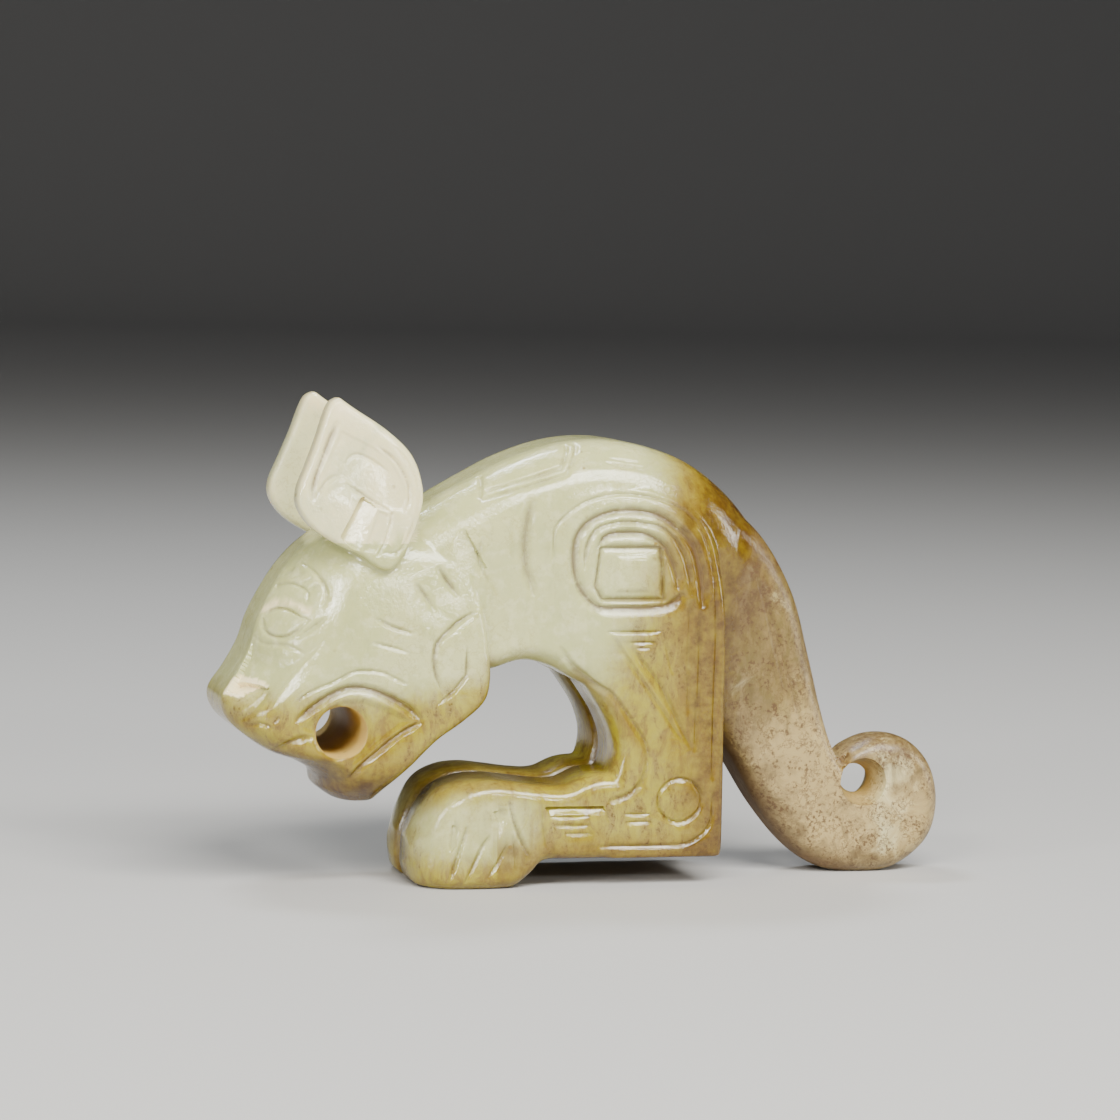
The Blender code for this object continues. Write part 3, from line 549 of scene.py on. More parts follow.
# Soft raised ridges on the sides: line, half width, height
SWELLS = [
    (curve((-16.6, 24.9), (-17.1, 24.0), (-17.8, 22.8), (-18.6, 21.5), (-20.1, 19.6),
     (-21.9, 17.7), (-23.0, 16.3), (-23.7, 14.7)), 0.95, 0.6),
    (curve((-25.0, 22.9), (-24.1, 23.6), (-23.4, 23.95), (-22.5, 23.9), (-21.5, 23.45),
     (-20.3, 22.9)), 0.5, 0.42),
    (curve((-7.9, 22.1), (-8.9, 21.3), (-9.8, 20.5), (-10.4, 19.6)), 0.5, 0.14),
    (curve((-1.9, 31.5), (-1.7, 29.4), (-1.8, 27.2), (-1.4, 25.2)), 0.9, 0.44),
    (curve((-4.6, 32.6), (-4.8, 30.2), (-4.9, 27.6), (-4.4, 25.0)), 1.1, 0.3),
    (curve((2.6, 18.3), (4.9, 16.9), (6.6, 14.9), (8.2, 12.6), (8.6, 10.6), (8.2, 8.8)), 0.9, 0.2),
]

# Sunk areas: outline, depth, width of the sloping edge
SIDE_HOLLOWS = [
    ([(-22.0, 14.0), (-20.4, 15.3), (-18.6, 16.3), (-16.6, 16.4), (-14.4, 15.6), (-12.3, 14.35),
     (-14.8, 12.4), (-17.6, 10.0), (-20.6, 11.8)], 0.24, 0.7),
    ([(-10.5, 15.8), (-10.8, 18.4), (-10.8, 20.0), (-9.8, 21.4), (-8.2, 20.8), (-8.1, 18.0),
     (-9.1, 16.6)], 0.12, 0.5),
    ([(5.0, 21.0), (8.5, 21.0), (11.0, 12.8), (11.5, 12.0)], 0.1, 0.5),
    ([(3.1, 28.8), (8.8, 28.8), (9.1, 24.2), (3.3, 24.2), (2.8, 25.8)], 0.22, 0.2),
    ([(-18.9, 22.0), (-20.1, 20.0), (-22.2, 17.6), (-24.0, 15.2), (-26.0, 14.5), (-29.5, 16.5),
     (-27.0, 21.5), (-25.5, 21.0), (-23.0, 20.4)], 0.5, 2.2),
]
EAR_HOLLOWS = [
    ([(-18.9, 38.4), (-20.7, 34.4), (-21.0, 32.7), (-20.4, 33.3), (-18.9, 34.3), (-16.4, 32.6),
     (-14.7, 31.6), (-13.5, 31.6), (-13.2, 32.7), (-13.4, 34.0), (-14.6, 36.0), (-15.9, 36.9)],
     0.16, 0.35),
    ([(-15.8, 31.8), (-14.7, 31.5), (-15.2, 29.2), (-15.8, 28.3), (-17.1, 28.3)], 0.16, 0.25),
]

# The cheek's upper field, a point at its far end, the way down its slope, and its two planes
CHEEK_TOP = [(-15.2, 25.4), (-12.6, 28.6), (-8.2, 30.2), (-6.4, 27.0), (-7.2, 22.8), (-10.6, 20.4),
             (-12.2, 20.8)]
CHEEK_FAR_END = np.array((-9.0, 30.0))
CHEEK_FALL = np.array((-3.4, -8.4))
CHEEK_SIDE, CHEEK_LEAN = 7.85, 1.75


def cheek_slope(flat, far):
    """How far the sides of the head lean in toward the neck, above the cheeks."""
    along = ((flat - CHEEK_FAR_END) @ CHEEK_FALL) / (CHEEK_FALL @ CHEEK_FALL)
    plane = CHEEK_SIDE - CHEEK_LEAN * np.clip(1 - along, 0, 1)
    return np.where(inside(CHEEK_TOP, flat), np.clip(far - plane, 0, None), 0)


# Middle line of the groove between the left and the right leg, under the body and round the paws
LEG_GROOVE = smooth_line([
    (-3.0, 0.0), (-7.0, 0.0), (-10.6, 0.2), (-11.8, 2.6), (-11.0, 6.0), (-8.0, 8.8), (-4.0, 9.0),
    (1.0, 8.6), (4.4, 9.9), (5.3, 11.6), (4.2, 14.2), (2.6, 16.0)], 4)


def drawn(places):
    """Side-view points and the distance from the middle plane, in drawn millimetres."""
    flat = np.column_stack([places[:, 0] / MM + MIDDLE_X, places[:, 2] / MM])
    return flat, places[:, 1] / MM


def ear_area(flat, y, outward):
    """True on the outer faces of the ears."""
    within = inside(smooth_line(EAR_OUTLINE, 3), flat)
    return within & (np.abs(y) > 3.9) & (outward > 0.7)


def cuts(flat, y, outward):
    """Depth of the engraving, and how much dirt and painted shade each place gets."""
    depth = np.zeros(len(flat))
    soil_and_shade = np.zeros(len(flat))
    on_ear = ear_area(flat, y, outward)
    for lines, area in ((SIDE_LINES, (outward > SIDE_FACING) & ~on_ear), (EAR_LINES, on_ear)):
        for line, width, deep, *ends in lines:
            close, cut = line_cut(line, flat, width, deep, BLUNT not in ends)
            keep = area[close]
            close, cut = close[keep], cut[keep]
            depth[close] = np.maximum(depth[close], cut)
            # Dirt and painted shade grow with the depth of the cut
            soil_and_shade[close] = np.maximum(soil_and_shade[close], (cut / SOIL_AND_SHADE_DEPTH) ** 1.5)
    return depth, soil_and_shade, on_ear


def relief(places, normals):
    """How far each vertex moves in, in millimetres."""
    flat, y = drawn(places)
    outward = normals[:, 1] * np.sign(y)
    depth, _, on_ear = cuts(flat, y, outward)
    side = (outward > SIDE_FACING) & ~on_ear
    for facets, place in ((SIDE_FACETS, side), (EAR_FACETS, on_ear)):
        for facet in facets:
            depth = np.where(place, np.maximum(depth, facet_cut(facet, flat)), depth)

    depth += np.where(side, cheek_slope(flat, np.abs(y)), 0)
    from_edge = BOSS_HALF - np.abs(flat - HAUNCH_CENTRE).max(1)
    depth -= np.where(side, BOSS_HEIGHT * np.clip(from_edge / BOSS_SLOPE, 0, 1), 0)
    for height, *oval_shape in DOMES:
        depth -= np.where(side, height * dome(flat, *oval_shape), 0)
    for line, half, height in SWELLS:
        close, rise = line_cut(line, flat, 2 * half, height, lean=0.0)
        depth[close] -= np.where(side[close], rise, 0)
    for areas, place in ((SIDE_HOLLOWS, side), (EAR_HOLLOWS, on_ear)):
        for outline, deep, edge in areas:
            within = np.flatnonzero(place & inside(outline, flat))
            rim = distance_to([*outline, outline[0]], flat[within])
            depth[within] += deep * step(rim, 0.0, edge)

    reach = distance_to(LEG_GROOVE, flat)
    share = np.clip(np.abs(y) / GROOVE_HALF, 0, 1)
    groove = GROOVE_DEPTH * (1 - share ** 2) ** 1.5 * np.clip((2.4 - reach) / 1.2, 0, 1)
    return np.maximum(depth, groove)


# Mesh steps

def vertex_rows(mesh):
    places = np.empty(len(mesh.vertices) * 3)
    normals = np.empty(len(mesh.vertices) * 3)
    mesh.vertices.foreach_get("co", places)
    mesh.vertex_normals.foreach_get("vector", normals)
    return places.reshape(-1, 3), normals.reshape(-1, 3)


def evaluated(body):
    """A free mesh with the object's modifiers applied."""
    bpy.context.view_layer.update()
    graph = bpy.context.evaluated_depsgraph_get()
    return bpy.data.meshes.new_from_object(body.evaluated_get(graph))


def linked(name, data):
    thing = bpy.data.objects.new(name, data)
    bpy.context.scene.collection.objects.link(thing)
    return thing


def written(shape, mesh):
    """Moves a worked shape into a mesh and frees it."""
    shape.to_mesh(mesh)
    shape.free()
    return mesh


def joined_forms(sizes):
    """All forms fused into one even skin by a voxel remesh."""
    vertices, faces, start = [], [], 0
    for points, polygons in (trunk(sizes), haunch_and_leg(sizes), foot_and_paw(sizes),
                             tail(sizes), head(sizes), ear(sizes, -1), ear(sizes, 1)):
        vertices.append(points)
        faces.extend(tuple(start + i for i in polygon) for polygon in polygons)
        start += len(points)
    points = np.vstack(vertices)
    points[:, 0] -= MIDDLE_X
    mesh = bpy.data.meshes.new("forms")
    mesh.from_pydata((points * MM).tolist(), [], faces)
    shape = bmesh.new()
    shape.from_mesh(mesh)
    bmesh.ops.recalc_face_normals(shape, faces=shape.faces)
    body = linked("forms", written(shape, mesh))
    remesh = body.modifiers.new("fuse", "REMESH")
    remesh.mode = "VOXEL"
    remesh.voxel_size = sizes.voxel
    ease = body.modifiers.new("ease", "SMOOTH")
    ease.factor = 0.5
    ease.iterations = 14
    fused = evaluated(body)
    bpy.data.objects.remove(body)
    return fused


def carve(mesh):
    places, normals = vertex_rows(mesh)
    places -= normals * relief(places, normals)[:, None] * MM
    mesh.vertices.foreach_set("co", places.ravel())
    mesh.update()


def flat_soles(mesh):
    """Cuts the paws and the tail curl off flat on z = 0."""
    shape = bmesh.new()
    shape.from_mesh(mesh)
    everything = list(shape.verts) + list(shape.edges) + list(shape.faces)
    cut = bmesh.ops.bisect_plane(shape, geom=everything, dist=0.00001, plane_co=(0, 0, 0),
                                 plane_no=(0, 0, 1), clear_inner=True)
    rims = [item for item in cut["geom_cut"] if isinstance(item, bmesh.types.BMEdge)]
    bmesh.ops.holes_fill(shape, edges=rims, sides=0)
    bmesh.ops.triangulate(shape, faces=shape.faces[:])
    written(shape, mesh)


def thinned(mesh, triangles):
    body = linked("carved", mesh)
    thin = body.modifiers.new("thin", "DECIMATE")
    thin.ratio = min(1.0, triangles / len(mesh.polygons))
    light = evaluated(body)
    bpy.data.objects.remove(body)
    return light


WORN_LIP = 0.12                          # how far the rim of the mouth bore is worn back
CHEEK_HOLLOW = 0.22                      # how far the cheek is sunk around the bore


def cutter(name, centre, radii, steps=72):
    """A turned cutter along Y; radii are (y, radius) pairs in millimetres."""
    shape = bmesh.new()
    rings = []
    for y, radius in radii:
        ring = []
        for k in range(steps):
            angle = 2 * math.pi * (k + 0.5) / steps
            x = (centre[0] - MIDDLE_X + radius * math.cos(angle)) * MM
            z = (centre[1] + radius * math.sin(angle)) * MM
            ring.append(shape.verts.new((x, y * MM, z)))
        rings.append(ring)
    for one, two in zip(rings[:-1], rings[1:]):
        for k in range(steps):
            n = (k + 1) % steps
            shape.faces.new((one[k], one[n], two[n], two[k]))
    shape.faces.new(rings[0][::-1])
    shape.faces.new(rings[-1])
    bmesh.ops.recalc_face_normals(shape, faces=shape.faces)
    return linked(name, written(shape, bpy.data.meshes.new(name)))


def drilled(mesh, sizes):
    """The carving with its mouth bore and its tail hole, as a plain mesh."""
    body = linked("drilled", mesh)
    mouth = sizes.mouth_bore / MM / 2
    past = sizes.head_width / MM
    curl = sizes.tail_curl_width / MM / 2
    rim, throat = sizes.tail_bore_rim / MM / 2, sizes.tail_bore_throat / MM / 2
    wide = rim + (rim - throat)
    cheek = sizes.head_width / MM / 2 - CHEEK_HOLLOW
    half = [(cheek - WORN_LIP, mouth), (cheek, mouth + WORN_LIP),
            (past, mouth + WORN_LIP + past - cheek)]
    cutters = [
        cutter("mouth_drill", MOUTH_CENTRE, [(-y, radius) for y, radius in half[::-1]] + half),
        cutter("tail_drill", TAIL_HOLE_CENTRE, [(-2 * curl, wide), (0, throat), (2 * curl, wide)]),
    ]
    for tool in cutters:
        cut = body.modifiers.new(tool.name, "BOOLEAN")
        cut.operation = "DIFFERENCE"
        cut.solver = "EXACT"
        cut.object = tool
    done = evaluated(body)
    for old in [body, *cutters]:
        bpy.data.objects.remove(old)
    return done


# Zones of colour, kept on the mesh as values from 0 to 1

def near_line(flat, reach, *points):
    """1 on a broken line, fading out over the given reach."""
    return np.exp(-(distance_to(points, flat) / reach) ** 2)


def bored(flat, far, radius=2.2):
    """True on the walls of the mouth bore and the tail hole, below their rims."""
    mouth = (np.hypot(*(flat - MOUTH_CENTRE).T) < radius) & (far < 7.7)
    return mouth | ((np.hypot(*(flat - TAIL_HOLE_CENTRE).T) < radius) & (far < 2.5))


# Stained places, and one line of painted shade in the groove over the paws: strength, reach, and
# the points of a line along their middle
AMBER_LINES = [
    (0.95, 1.3, (15.0, 2.5), (15.0, 24.0), (14.2, 29.5), (12.8, 33.0)),
    (1.0, 5.8, (15.2, 33.0), (16.8, 30.4), (17.4, 27.6), (16.8, 24.0)),
    (0.75, 3.0, (16.6, 25.0), (19.0, 20.0), (20.6, 16.0)),
    (0.95, 0.9, (0.0, 2.3), (15.0, 2.4)),
    (1.2, 2.6, (12.6, 2.8), (15.4, 3.4), (15.4, 8.0)),
    (1.1, 3.0, (-20.6, 9.4), (-18.0, 7.8), (-15.4, 7.8)),
    (0.8, 1.0, (-23.6, 11.6), (-21.6, 10.8)),
    (0.5, 0.8, (-14.5, 8.6), (-8.0, 14.2), (-5.8, 17.0), (-6.0, 19.0)),
    (0.45, 0.7, (-27.6, 14.6), (-25.0, 12.6), (-23.0, 11.8)),
    (0.5, 0.7, (-17.0, 10.2), (-12.2, 14.2)),
    (0.6, 0.6, (1.5, 18.2), (4.5, 15.8), (6.4, 13.4), (7.4, 11.0)),
    (0.5, 0.8, (-11.6, 0.2), (-2.4, 0.2), (-1.2, 2.0)),
    # Painted shade in the groove over the paw tops
    (0.6, 0.8, (-11.4, 6.4), (-9.0, 8.6), (-4.0, 8.9), (1.0, 8.5)),
]


def amber_stain_and_groove_shade(flat, groove):
    """Ochre from about 0.3, dark amber at 1: stains on the leg, the soles, the rump and the chin,
    and painted shade in the groove between the legs and over the paws.
    """
    x, z = flat[:, 0], flat[:, 1]
    hind = (x > -5) & (x < 16.5)
    leg_band = 0.86 * step(x + 0.10 * (z - 15), 6.6, 12.8) * hind * step(z, 1.0, 4.0)
    leg_band *= step(z, 37.0, 31.0)
    foot_band = 0.74 * step(z, 5.6, 3.0) * hind
    around_mouth = 0.56 * step(z + 0.25 * np.abs(x + 17), 17.0, 11.0) * step(x, -9.0, -11.5)
    around_mouth *= np.maximum(step(z, 8.8, 10.2), step(x, -12.8, -14.6))
    lines = [strength * near_line(flat, reach, *points) for strength, reach, *points in AMBER_LINES]
    # The leg groove adds painted shade in the stain colours
    return np.clip(np.maximum.reduce([leg_band, foot_band, around_mouth, *lines, 0.75 * groove]),
                   0, 1)


def zones(mesh):
    """Writes each zone of colour to the mesh, as an attribute of its vertices."""
    places, normals = vertex_rows(mesh)
    flat, y = drawn(places)
    x, z = flat[:, 0], flat[:, 1]
    far = np.abs(y)
    outward = normals[:, 1] * np.sign(y)
    soil_and_shade = cuts(flat, y, outward)[1]
    # Painted shade in the groove between the legs, deepest at the middle plane
    reach = distance_to(LEG_GROOVE, flat)
    groove = np.exp(-(far / 3.2) ** 2) * np.clip((2.6 - reach) / 1.2, 0, 1)

    leaf = smooth_line(EAR_OUTLINE, 3)
    ears = (inside(leaf, flat) | (distance_to(leaf, flat) < 0.8)) & (far > 3.7) & (z > 29.0)
    head = x < -5
    olive = np.maximum.reduce([
        step(z - 0.25 * (x + 12).clip(0), 18.5, 14.0) * head,
        0.7 * near_line(flat, 2.0, (-12.0, 11.5), (-5.8, 16.8)),
        0.35 * near_line(flat, 1.6, (-27.0, 14.6), (-24.0, 13.4)),
        0.95 * step(x + 0.45 * (27 - z).clip(-3), 4.5, 12.0) * ~head,
        0.8 * step(z, 19.0, 14.0) * ~head])
    paw = step(x, -13.8, -10.5) * step(x, -0.4, -3.2) * step(z, 10.2, 8.6)
    on_paw = 0.25 + 0.6 * step(z, 4.0, 1.0) + 0.45 * step(z, 6.0, 8.5)
    olive = np.clip(olive + (on_paw - olive) * paw, 0, 1)
    amber = amber_stain_and_groove_shade(flat, groove)

    ash = step(x - 0.35 * (z - 24).clip(0), 15.0, 16.2) * step(z, 33.5, 28.0)
    whitened = 0.8 * near_line(flat, 1.8, (30.4, 3.4), (32.0, 6.0), (31.6, 8.4))
    cream = np.clip(np.maximum(ears * 1.0, whitened * ash), 0, 1)
    sand = ash * near_line(flat, 5.0, (22.5, 11.0), (26.0, 5.0), (32.0, 5.0))
    # Painted shade along the tail's front edge, which faces down
    tail_edge_shade = near_line(flat, 1.1, (15.6, 12.8), (17.6, 8.8), (20.3, 4.4), (23.0, 1.6),
                      (27.0, 0.2)) * (far < 3.2)

    # Painted highlights on the nostril facet and along the eyelid ridge, and a pale spot at the ear
    # tip
    nostril = inside([(-27.8, 16.2), (-27.5, 17.4), (-26.4, 17.7), (-25.2, 17.6), (-24.2, 17.1),
                      (-25.4, 16.6), (-26.6, 16.0)], flat) & (outward > 0.1)
    lid = near_line(flat, 0.22, (-24.4, 23.1), (-23.4, 23.8), (-22.4, 23.8), (-21.2, 23.2)) \
        * (outward > 0.2) * 0.9
    tip = ears * np.exp(-(np.hypot(x + 18.8, z - 39.8) / 0.9) ** 2) * 0.7
    peach_highlight_and_tip = np.clip(np.maximum.reduce([nostril * 1.0, lid, tip]), 0, 1)

    # Dirt with painted shade in the cuts, painted shade along the tail's front edge, and painted
    # shade down the middle of the leg groove
    soil_and_shade = np.clip(np.maximum.reduce([
        soil_and_shade, 0.95 * tail_edge_shade, np.exp(-(far / 0.8) ** 2) * (groove > 0.15)]), 0, 1)
    for name, values in (("olive", olive), ("amber", amber), ("ash", ash), ("cream", cream),
                         ("sand", sand), ("peach_highlight_and_tip", peach_highlight_and_tip), ("soil_and_shade", soil_and_shade),
                         ("dull", bored(flat, far))):
        layer = mesh.attributes.new(name, "FLOAT", "POINT")
        layer.data.foreach_set("value", np.ascontiguousarray(values, dtype=np.float32))


# Material

def preset(node, values):
    """Gives a node's inputs, by name, their plain values."""
    for name, value in values.items():
        node.inputs[name].default_value = value


class Nodes:
    """Short calls for building a node tree."""

    def __init__(self, tree):
        self.tree = tree

    def add(self, kind, **settings):
        node = self.tree.nodes.new(kind)
        for name, value in settings.items():
            setattr(node, name, value)
        return node

    def join(self, source, target):
        self.tree.links.new(source, target)

    def fill(self, socket, value):
        if isinstance(value, bpy.types.NodeSocket):
            self.join(value, socket)
        elif isinstance(value, Color):
            socket.default_value = (*value, 1.0)
        else:
            socket.default_value = value

    def math(self, operation, a, b=0.0, clamp=False):
        node = self.add("ShaderNodeMath", operation=operation, use_clamp=clamp)
        self.fill(node.inputs[0], a)
        self.fill(node.inputs[1], b)
        return node.outputs[0]

    def mix(self, amount, a, b):
        node = self.add("ShaderNodeMix", data_type="RGBA")
        for name, value in (("Factor", amount), ("A", a), ("B", b)):
            self.fill(node.inputs[name], value)
        return node.outputs["Result"]

    def ramp(self, value, low, high):
        node = self.add("ShaderNodeMapRange", interpolation_type="SMOOTHSTEP")
        self.fill(node.inputs["Value"], value)
        preset(node, {"From Min": low, "From Max": high})
        return node.outputs["Result"]

    def noise(self, place, scale, detail=4.0, rough=0.55, distortion=0.0):
        node = self.add("ShaderNodeTexNoise")
        self.join(place, node.inputs["Vector"])
        preset(node, {"Scale": scale, "Detail": detail, "Roughness": rough,
                      "Distortion": distortion})
        return node.outputs["Fac"]

    def zone(self, name):
        return self.add("ShaderNodeAttribute", attribute_name=name).outputs["Fac"]


def jade_material(colours):
    """Polished stone: cloudy celadon, stained and whitened by zone, with painted shade and
    highlights, glossy and translucent.
    """
    material = bpy.data.materials.new("polished_jade")
    material.use_nodes = True
    tree = material.node_tree
    shader = tree.nodes["Principled BSDF"]
    n = Nodes(tree)
    place = n.add("ShaderNodeTexCoord").outputs["Object"]

    clouds = n.noise(place, 130.0, 5.0, 0.6, 0.6)
    fine = n.noise(place, 900.0, 5.0, 0.65)
    veins = n.noise(place, 300.0, 6.0, 0.7, 1.2)
    fibre = n.add("ShaderNodeMapping")
    preset(fibre, {"Scale": (1.0, 1.0, 0.4), "Rotation": (0.0, math.radians(25), 0.0)})
    n.join(place, fibre.inputs["Vector"])
    streaks = n.noise(fibre.outputs[0], 1100.0, 6.0, 0.75, 0.5)
    grains = n.noise(place, 3200.0, 3.0, 0.6)

    def times(a, b):
        return n.math("MULTIPLY", a, b)

    def plus(a, b):
        return n.math("ADD", a, b)

    def off_middle(value):
        return n.math("SUBTRACT", value, 0.5)

    def patchy(name, wobble, low, high, source):
        """A zone with an uneven edge, kept at nothing where the zone is nothing."""
        value = n.zone(name)
        live = n.math("MULTIPLY", value, 5.0, clamp=True)
        return n.ramp(plus(value, times(times(off_middle(source), wobble), live)), low, high)

    # Clouded main stone
    colour = n.mix(n.ramp(clouds, 0.35, 0.68), colours.celadon, colours.pale_green)
    colour = n.mix(times(n.ramp(fine, 0.48, 0.66), 0.45), colour, colours.milky)
    shade = times(n.ramp(streaks, 0.52, 0.36), n.ramp(veins, 0.40, 0.60))
    colour = n.mix(times(shade, 0.25), colour, colours.shade)
    warm = times(n.ramp(veins, 0.55, 0.72), n.ramp(clouds, 0.45, 0.60))
    colour = n.mix(times(warm, 0.30), colour, colours.olive)

    # Olive stone, iron stains with dark grain, and painted shade in the groove between the legs
    olive = patchy("olive", 0.7, 0.0, 1.0, veins)
    olive_tone = n.mix(n.ramp(streaks, 0.40, 0.62), colours.olive, colours.ochre)
    colour = n.mix(times(olive, 0.95), colour, olive_tone)
    olive_light = times(times(olive, n.ramp(clouds, 0.40, 0.62)), 0.10)
    colour = n.mix(olive_light, colour, colours.celadon)
    amber = patchy("amber", 0.80, 0.0, 1.1, fine)
    deep = patchy("amber", 1.10, 0.50, 1.20, fine)
    # The amber zone carries iron stains and the painted shade of the leg groove
    stain = n.mix(deep, colours.ochre, colours.amber)
    dots = times(n.ramp(grains, 0.54, 0.64), n.ramp(fine, 0.48, 0.60))
    stain = n.mix(times(dots, 0.45), stain, colours.amber)
    colour = n.mix(times(amber, 0.97), colour, stain)
    earthy = n.math("MAXIMUM", olive, amber)
    dirt = times(n.ramp(grains, 0.50, 0.60), n.ramp(streaks, 0.50, 0.62))
    dirt = times(dirt, n.ramp(clouds, 0.38, 0.58))
    colour = n.mix(times(times(dirt, earthy), 0.70), colour, colours.amber)

    # Tail
    ash = n.zone("ash")
    ash_tone = n.mix(n.ramp(streaks, 0.36, 0.64), colours.ash, colours.pale_ash)
    sandy = plus(n.zone("sand"), times(off_middle(veins), 1.6))
    ash_tone = n.mix(n.ramp(sandy, 0.15, 0.95), ash_tone, colours.sand)
    dusky = times(n.ramp(veins, 0.48, 0.36), n.ramp(clouds, 0.40, 0.56))
    ash_tone = n.mix(times(dusky, 0.45), ash_tone, colours.ash)
    keep = n.math("SUBTRACT", 1.0, times(amber, 0.55))
    colour = n.mix(times(ash, keep), colour, ash_tone)

    # Whitened ears and curl
    cream = n.zone("cream")
    uneven = times(off_middle(veins), times(ash, 1.8))
    blotch = n.ramp(plus(cream, uneven), 0.10, 0.95)
    cream_tone = n.mix(n.ramp(clouds, 0.40, 0.62), colours.cream, colours.milky)
    colour = n.mix(times(blotch, 0.9), colour, cream_tone)

    # Fine cracks, and specks on the tail
    crackle = n.ramp(n.math("ABSOLUTE", off_middle(fine)), 0.030, 0.0)
    crackle = times(crackle, n.ramp(veins, 0.40, 0.54))
    specks = times(n.ramp(grains, 0.49, 0.60), n.ramp(fine, 0.44, 0.58))
    specks = n.math("MAXIMUM", specks, times(crackle, 0.8))
    colour = n.mix(times(times(specks, ash), 0.85), colour, colours.soil_and_shade)
    faint = times(crackle, n.ramp(clouds, 0.48, 0.60))
    colour = n.mix(times(faint, 0.22), colour, colours.ochre)

    # Painted highlights on the nostril and the eyelid with a pale ear tip, drilled walls, dirt and
    # painted shade, and pin holes
    highlight_and_tip_tone = n.mix(times(n.ramp(fine, 0.50, 0.66), 0.6), colours.peach_highlight_and_tip, colours.cream)
    colour = n.mix(n.zone("peach_highlight_and_tip"), colour, highlight_and_tip_tone)
    colour = n.mix(n.zone("dull"), colour, colours.bore)
    soil_and_shade = n.zone("soil_and_shade")
    # Dirt and painted shade in the cuts, the leg groove and along the tail's front edge
    grime_and_shade = times(soil_and_shade, n.ramp(plus(veins, times(soil_and_shade, 0.25)), 0.42, 0.70))
    colour = n.mix(times(grime_and_shade, 0.75), colour, colours.soil_and_shade)
    pins = n.add("ShaderNodeTexVoronoi")
    preset(pins, {"Scale": 700.0})
    n.join(place, pins.inputs["Vector"])
    pin = times(n.ramp(pins.outputs["Distance"], 0.17, 0.07),
                n.ramp(n.noise(place, 190.0, 3.0), 0.54, 0.64))
    colour = n.mix(times(pin, 0.7), colour, colours.ochre)
    n.join(colour, shader.inputs["Base Color"])

    rough = plus(times(n.ramp(fine, 0.35, 0.75), 0.10), 0.07)
    rough = plus(rough, times(ash, 0.28))
    matt = plus(times(soil_and_shade, 0.30), times(n.zone("dull"), 0.45))
    n.join(n.math("ADD", rough, matt, clamp=True), shader.inputs["Roughness"])

    bump = n.add("ShaderNodeBump")
    preset(bump, {"Strength": 0.45, "Distance": 0.00005})
    ripple = plus(times(n.noise(place, 260.0, 3.0), 1.2), times(streaks, 0.4))
    pitted = plus(ripple, times(n.ramp(grains, 0.35, 0.60), 0.30))
    n.join(pitted, bump.inputs["Height"])
    n.join(bump.outputs["Normal"], shader.inputs["Normal"])

    preset(shader, {"IOR": 1.62, "Subsurface Weight": 0.35, "Subsurface Scale": 0.0010,
                    "Subsurface Radius": (1.0, 0.85, 0.45)})
    return material


class CARVING_OT_dragon(bpy.types.Operator):
    """Build the jade dragon carving"""
    bl_idname = "carving.dragon"
    bl_label = "Jade dragon"

    def execute(self, context):
        sizes = context.scene.carving_sizes
        mesh = joined_forms(sizes)
        carve(mesh)
        flat_soles(mesh)
        mesh = drilled(thinned(mesh, sizes.triangles), sizes)
        zones(mesh)
        mesh.shade_smooth()
        mesh.set_sharp_from_angle(angle=SHARP_ANGLE)
        mesh.materials.clear()
        mesh.materials.append(jade_material(context.scene.carving_colours))
        mesh.name = "polished_dragon"
        piece = linked("polished_dragon", mesh)
        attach(piece, "root")
        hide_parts(NODE)
        return {"FINISHED"}


# Stage

# Soft studio lights, in metres and watts: name, place, width and height, power, colour
LIGHTS = [
    ("key_light", (0.06, -0.30, 0.36), (0.40, 0.12), 4.0, (1.0, 0.99, 0.96)),
    ("corner_light", (-0.27, -0.36, 0.27), (0.12, 0.08), 1.2, (1.0, 0.99, 0.97)),
    ("front_light", (0.15, -0.42, 0.19), (0.08, 0.05), 0.55, (1.0, 0.99, 0.96)),
    ("left_light", (-0.42, -0.26, 0.13), (0.05, 0.20), 0.9, (1.0, 0.99, 0.97)),
    ("right_light", (0.44, -0.06, 0.11), (0.05, 0.20), 0.5, (1.0, 0.985, 0.95)),
    ("back_light", (-0.07, 0.20, 0.40), (0.14, 0.06), 0.9, (0.86, 0.92, 1.0)),
]
LIT_POINT = Vector((0.0, 0.0, 0.02))


def area_light(name, place, size, power, tone):
    lamp = bpy.data.lights.new(name, "AREA")
    lamp.shape = "RECTANGLE"
    lamp.size, lamp.size_y = size
    lamp.energy = power
    lamp.color = tone
    holder = linked(name, lamp)
    holder.location = place
    holder.rotation_euler = (Vector(place) - LIT_POINT).to_track_quat("Z", "Y").to_euler()


def backdrop():
    """Pale floor that curves up into a wall far behind the carving."""
    half, depth, bend, high = 3.0, 2.4, 0.8, 2.6
    profile = [(-2.5, 0.0)]
    for k in range(17):
        angle = math.pi / 2 * k / 16
        profile.append((depth - bend + bend * math.sin(angle), bend - bend * math.cos(angle)))
    profile.append((depth, high))
    shape = bmesh.new()
    rows = [[shape.verts.new((side, y, z)) for y, z in profile] for side in (-half, half)]
    for k in range(len(profile) - 1):
        shape.faces.new((rows[0][k], rows[1][k], rows[1][k + 1], rows[0][k + 1]))
    mesh = written(shape, bpy.data.meshes.new("pale_floor"))
    mesh.shade_smooth()
    material = bpy.data.materials.new("pale_paper")
    material.use_nodes = True
    shader = material.node_tree.nodes["Principled BSDF"]
    preset(shader, {"Base Color": (0.50, 0.49, 0.47, 1.0), "Roughness": 0.85})
    mesh.materials.append(material)
    floor = linked("pale_floor", mesh)


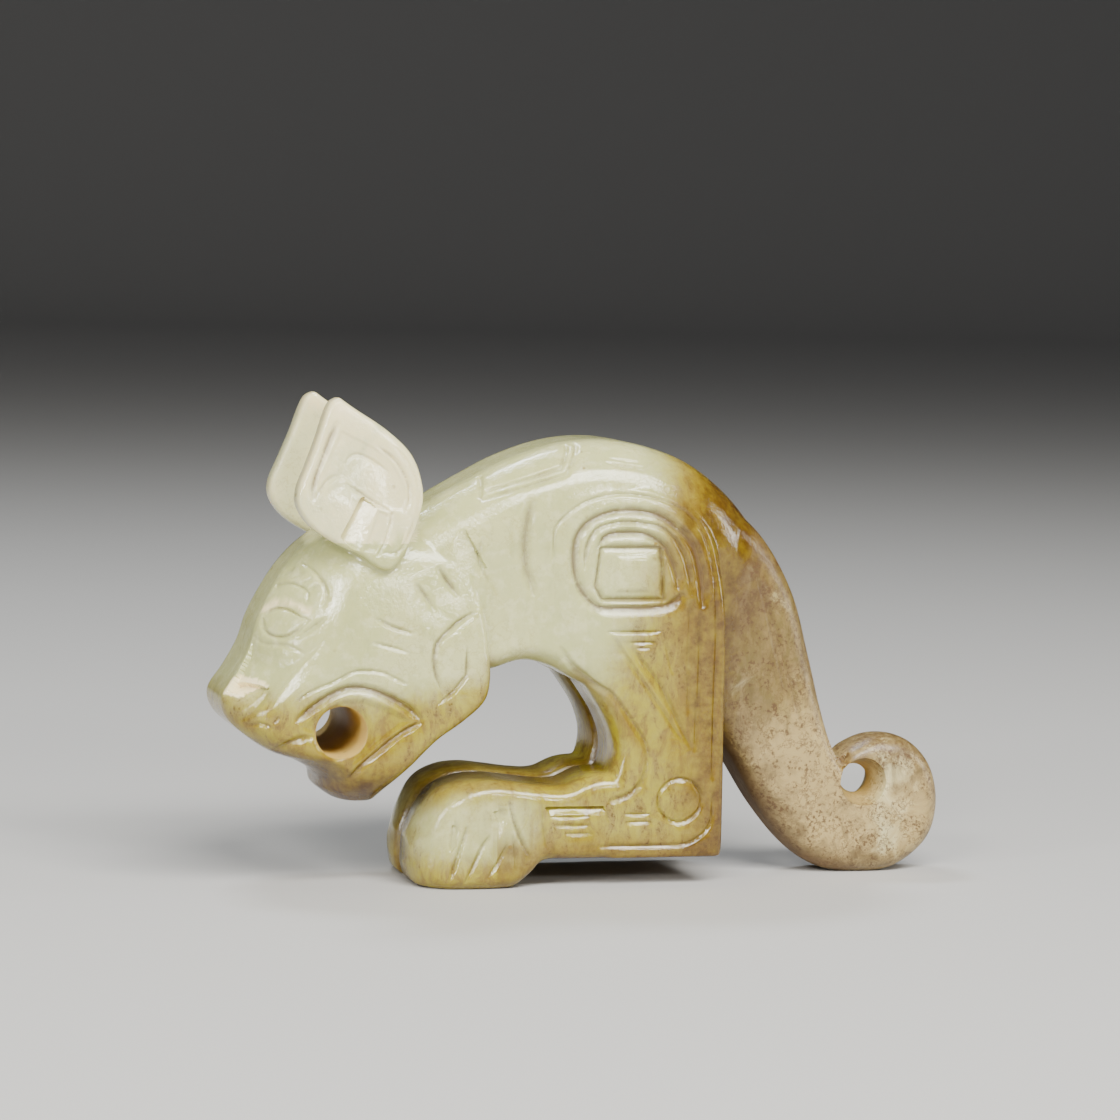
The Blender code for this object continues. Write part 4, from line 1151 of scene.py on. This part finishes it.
def photo_camera():
    """A camera a little to the left and above, turned slightly clockwise."""
    distance = 0.32
    aim = Vector((-MIDDLE_X, -6.5, 27.6)) * MM
    swing, tip, roll = math.radians(15.3), math.radians(5.0), math.radians(1.5)
    ahead = Vector((math.sin(swing) * math.cos(tip), math.cos(swing) * math.cos(tip),
                    -math.sin(tip)))
    level = Vector((math.cos(swing), -math.sin(swing), 0.0))
    upright = level.cross(ahead)
    right = level * math.cos(roll) + upright * math.sin(roll)
    up = upright * math.cos(roll) - level * math.sin(roll)
    place = aim - ahead * distance
    camera = bpy.data.cameras.new("photo_camera")
    camera.sensor_width = 36.0
    camera.lens = 123.4
    camera.clip_start = 0.01
    camera.clip_end = 20.0
    holder = linked("photo_camera", camera)
    axes = Matrix((right, up, -ahead)).transposed()
    holder.matrix_world = Matrix.Translation(place) @ axes.to_4x4()
    bpy.context.scene.camera = holder


class CARVING_OT_stage(bpy.types.Operator):
    """Add the pale floor, the soft lights and the camera"""
    bl_idname = "carving.stage"
    bl_label = "Stage"

    def execute(self, context):
        backdrop()
        for light in LIGHTS:
            area_light(*light)
        world = bpy.data.worlds.new("studio")
        world.use_nodes = True
        preset(world.node_tree.nodes["Background"],
               {"Color": (0.92, 0.94, 1.0, 1.0), "Strength": 0.07})
        context.scene.world = world
        photo_camera()
        return {"FINISHED"}


class CARVING_PT_panel(bpy.types.Panel):
    """The carving's sizes, colours and build steps"""
    bl_idname = "CARVING_PT_panel"
    bl_label = "Jade dragon carving"
    bl_space_type = "VIEW_3D"
    bl_region_type = "UI"
    bl_category = "Carving"

    def draw(self, context):
        layout = self.layout
        for group in (context.scene.carving_sizes, context.scene.carving_colours):
            box = layout.box()
            for name in group.__annotations__:
                box.prop(group, name)
        for step_class in STEPS:
            layout.operator(step_class.bl_idname)


STEPS = (CARVING_OT_dragon, CARVING_OT_stage)
CLASSES = (CarvingSizes, CarvingColours, *STEPS, CARVING_PT_panel)


def register():
    for item in CLASSES:
        bpy.utils.register_class(item)
    bpy.types.Scene.carving_sizes = PointerProperty(type=CarvingSizes)
    bpy.types.Scene.carving_colours = PointerProperty(type=CarvingColours)


def unregister():
    del bpy.types.Scene.carving_sizes
    del bpy.types.Scene.carving_colours
    for item in reversed(CLASSES):
        bpy.utils.unregister_class(item)


def main():
    register()
    bpy.ops.carving.dragon()
    bpy.ops.carving.stage()


if __name__ == "__main__":
    main()
